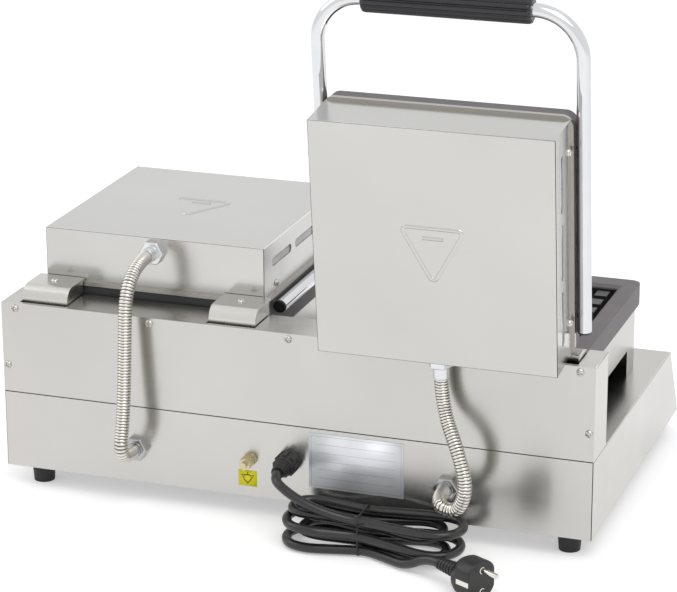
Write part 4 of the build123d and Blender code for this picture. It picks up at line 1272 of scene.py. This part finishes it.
def addBondLabel():
    v = bondLabel
    finishes["bondLabel"] = printedPlate("bondLabel", (0.88, 0.80, 0.0), 0.4, 0.0)
    addPlate("bondLabel", "bondLabel", v)
    centre = (sum(v["x"]) / 2, v["y"] + v["thick"], sum(v["z"]) / 2)
    facing = Matrix(((-1, 0, 0), (0, 0, 1), (0, 1, 0))).to_4x4()
    place = Matrix.Translation(centre) @ facing
    ring = [(v["ring"] * c, v["ring"] * s + v["ringUp"]) for c, s in circle(v["ringSteps"])]
    bm = bmesh.new()
    for a, b in [*zip(ring, ring[1:] + ring[:1]), *v["lines"]]:
        barInto(bm, a, b, v["stroke"], place)
    dress(fromBmesh("bondMark", bm, "darkInk"), "base")


addDataPlate()
addBondLabel()


# Pressed triangle on each lid, raised a little from the sheet

pressing = {
    "y": -0.0018, "side": 0.056, "tall": 0.050, "ahead": 0.42, "z": 0.2345, "radius": 0.0024,
    "corner": 0.0035, "bar": 0.009, "sides": 12,
}


def addPressing(side):
    v = pressing
    half, z = v["side"] / 2, v["z"]
    base = v["y"] - v["tall"] * v["ahead"]
    corners = [(half, base, z), (0, base + v["tall"], z), (-half, base, z)]
    bm = bmesh.new()
    tubeInto(bm, roundLoop(corners, v["corner"], 8), v["radius"], v["sides"], caps=False)
    bar = [Vector((x, base + v["bar"], z)) for x in (-v["bar"], v["bar"])]
    tubeInto(bm, bar, v["radius"], v["sides"])
    obj = fromBmesh(f"{side}Pressing", bm, "lidSteel", lidPlace(side))
    dress(obj, f"{side}_lid")


for sideName in sides:
    addPressing(sideName)
print("labels and pressings made")


# Seam between the base and the rear housing: a dark strip of painted shade in its gap

seam = {"x": (-0.2746, 0.2746), "z": (0.09175, 0.09265), "y": 0.1497, "thick": 0.0004}
addPlate("rearSeam", "seamShade", seam)
print("seam drawn")


# Printing on the control panel and the knobs' pointers

printing = {
    "ring": (0.0198, 0.0222), "short": 0.0010, "figures": 0.0256, "size": 0.0036, "start": 150.0,
    "sweep": 300.0, "stroke": 0.0005, "word": 0.0042, "wordUp": 0.0205, "switchX": -0.078,
}
dials = {  # figures round it, ticks between figures
    "thermostat": (("0", "1", "2", "3", "4", "5", "6"), 3),
    "timer": (("0", "1", "2", "3", "4", "5"), 4),
}
pointer = {"from": (0, 0.0040), "to": (0, 0.0150), "width": 0.0014}


def wordInto(bm, text, size, spot, place):
    # A word centred at a point of the place's own plane.
    data = bpy.data.curves.new("word", "FONT")
    data.body = text
    data.size = size
    data.align_x, data.align_y = "CENTER", "CENTER"
    data.extrude = inkProud / 2
    data.resolution_u = 3
    obj = addObject("word", data)
    mesh = plainMesh(obj)
    mesh.transform(place @ Matrix.Translation((*spot, inkProud / 2)))
    bm.from_mesh(mesh)
    bpy.data.objects.remove(obj)
    bpy.data.meshes.remove(mesh)


def dialInto(bm, place, figures, ticks):
    v = printing
    count = (len(figures) - 1) * ticks
    for k in range(count + 1):
        t = math.radians(90 + v["start"] - v["sweep"] * k / count)
        way = Vector((math.cos(t), math.sin(t)))
        inner, outer = v["ring"]
        if k % ticks:
            outer -= v["short"]
        barInto(bm, inner * way, outer * way, v["stroke"], place)
        if k % ticks == 0:
            wordInto(bm, figures[k // ticks], v["size"], v["figures"] * way, place)


def addPrinting():
    v = printing
    bm = bmesh.new()
    for side in sides:
        for dial, row in dials.items():
            dialInto(bm, panelPlace(side, dialOffset[dial]), *row)
        for word, up in (("ON", v["wordUp"]), ("OFF", -v["wordUp"])):
            wordInto(bm, word, v["word"], (0, up), panelPlace(side, v["switchX"]))
    dress(fromBmesh("panelPrinting", bm, "darkInk"), "base")


def addPointer(side, dial):
    v = pointer
    bm = bmesh.new()
    top = panelPlace(side, dialOffset[dial], knob["gap"] + knob["rise"])
    barInto(bm, v["from"], v["to"], v["width"], top)
    obj = fromBmesh(f"{side}{dial.title()}Pointer", bm, "whiteInk")
    dress(obj, f"{side}_{dial}_knob")


addPrinting()
for sideName in sides:
    for dialName in dials:
        addPointer(sideName, dialName)
print("panel printed")


# Stage: floor, light and world

stage = {"floor": 14.0, "pale": (0.93, 0.93, 0.93), "world": 0.66, "lift": 0.34}
lamps = {  # place, target, size, power
    "key": ((-1.2, 1.6, 2.6), (0, 0, 0.1), 2.0, 28.0),
    "fill": ((1.8, 0.2, 1.6), (0, 0, 0.15), 1.6, 8.0),
}


def seenRay(s):
    # One for rays from the camera, off a glossy surface or through glass, else nought.
    path = s.add("ShaderNodeLightPath").outputs
    total = path["Is Camera Ray"]
    for name in ("Is Glossy Ray", "Is Transmission Ray"):
        total = s.math("MAXIMUM", total, path[name])
    return total


def addFloor():
    bm = bmesh.new()
    bmesh.ops.create_grid(bm, x_segments=1, y_segments=1, size=stage["floor"] / 2)
    mesh = bpy.data.meshes.new("floor")
    bm.to_mesh(mesh)
    bm.free()
    s = Shader("floor")
    s.set(
        Base_Color=stage["pale"], Roughness=0.9, Specular_IOR_Level=0.15, Emission_Color=(1, 1, 1),
        Emission_Strength=s.math("MULTIPLY", seenRay(s), stage["lift"]),
    )
    mesh.materials.append(s.mat)
    addObject("floor", mesh)


def addWorld():
    world = bpy.data.worlds.new("studio")
    bpy.context.scene.world = world
    world.use_nodes = True
    s = NodeSet(world.node_tree)
    back = s.tree.nodes["Background"].inputs
    feeds = {"Value": seenRay(s), "To Min": stage["world"], "To Max": 1.0}
    s.feed(back["Strength"], s.add("ShaderNodeMapRange", feeds).outputs["Result"])
    s.feed(back["Color"], (1, 1, 1))


def addLamp(name, place, target, size, power):
    light = bpy.data.lights.new(name, "AREA")
    light.shape = "SQUARE"
    light.size = size
    light.energy = power
    turn = (Vector(target) - Vector(place)).to_track_quat("-Z", "Y").to_matrix().to_4x4()
    addObject(name, light).matrix_world = Matrix.Translation(place) @ turn


addFloor()
addWorld()
for lampName, lampValues in lamps.items():
    addLamp(lampName, *lampValues)
bpy.context.scene.view_settings.view_transform = "Standard"
print("stage set")
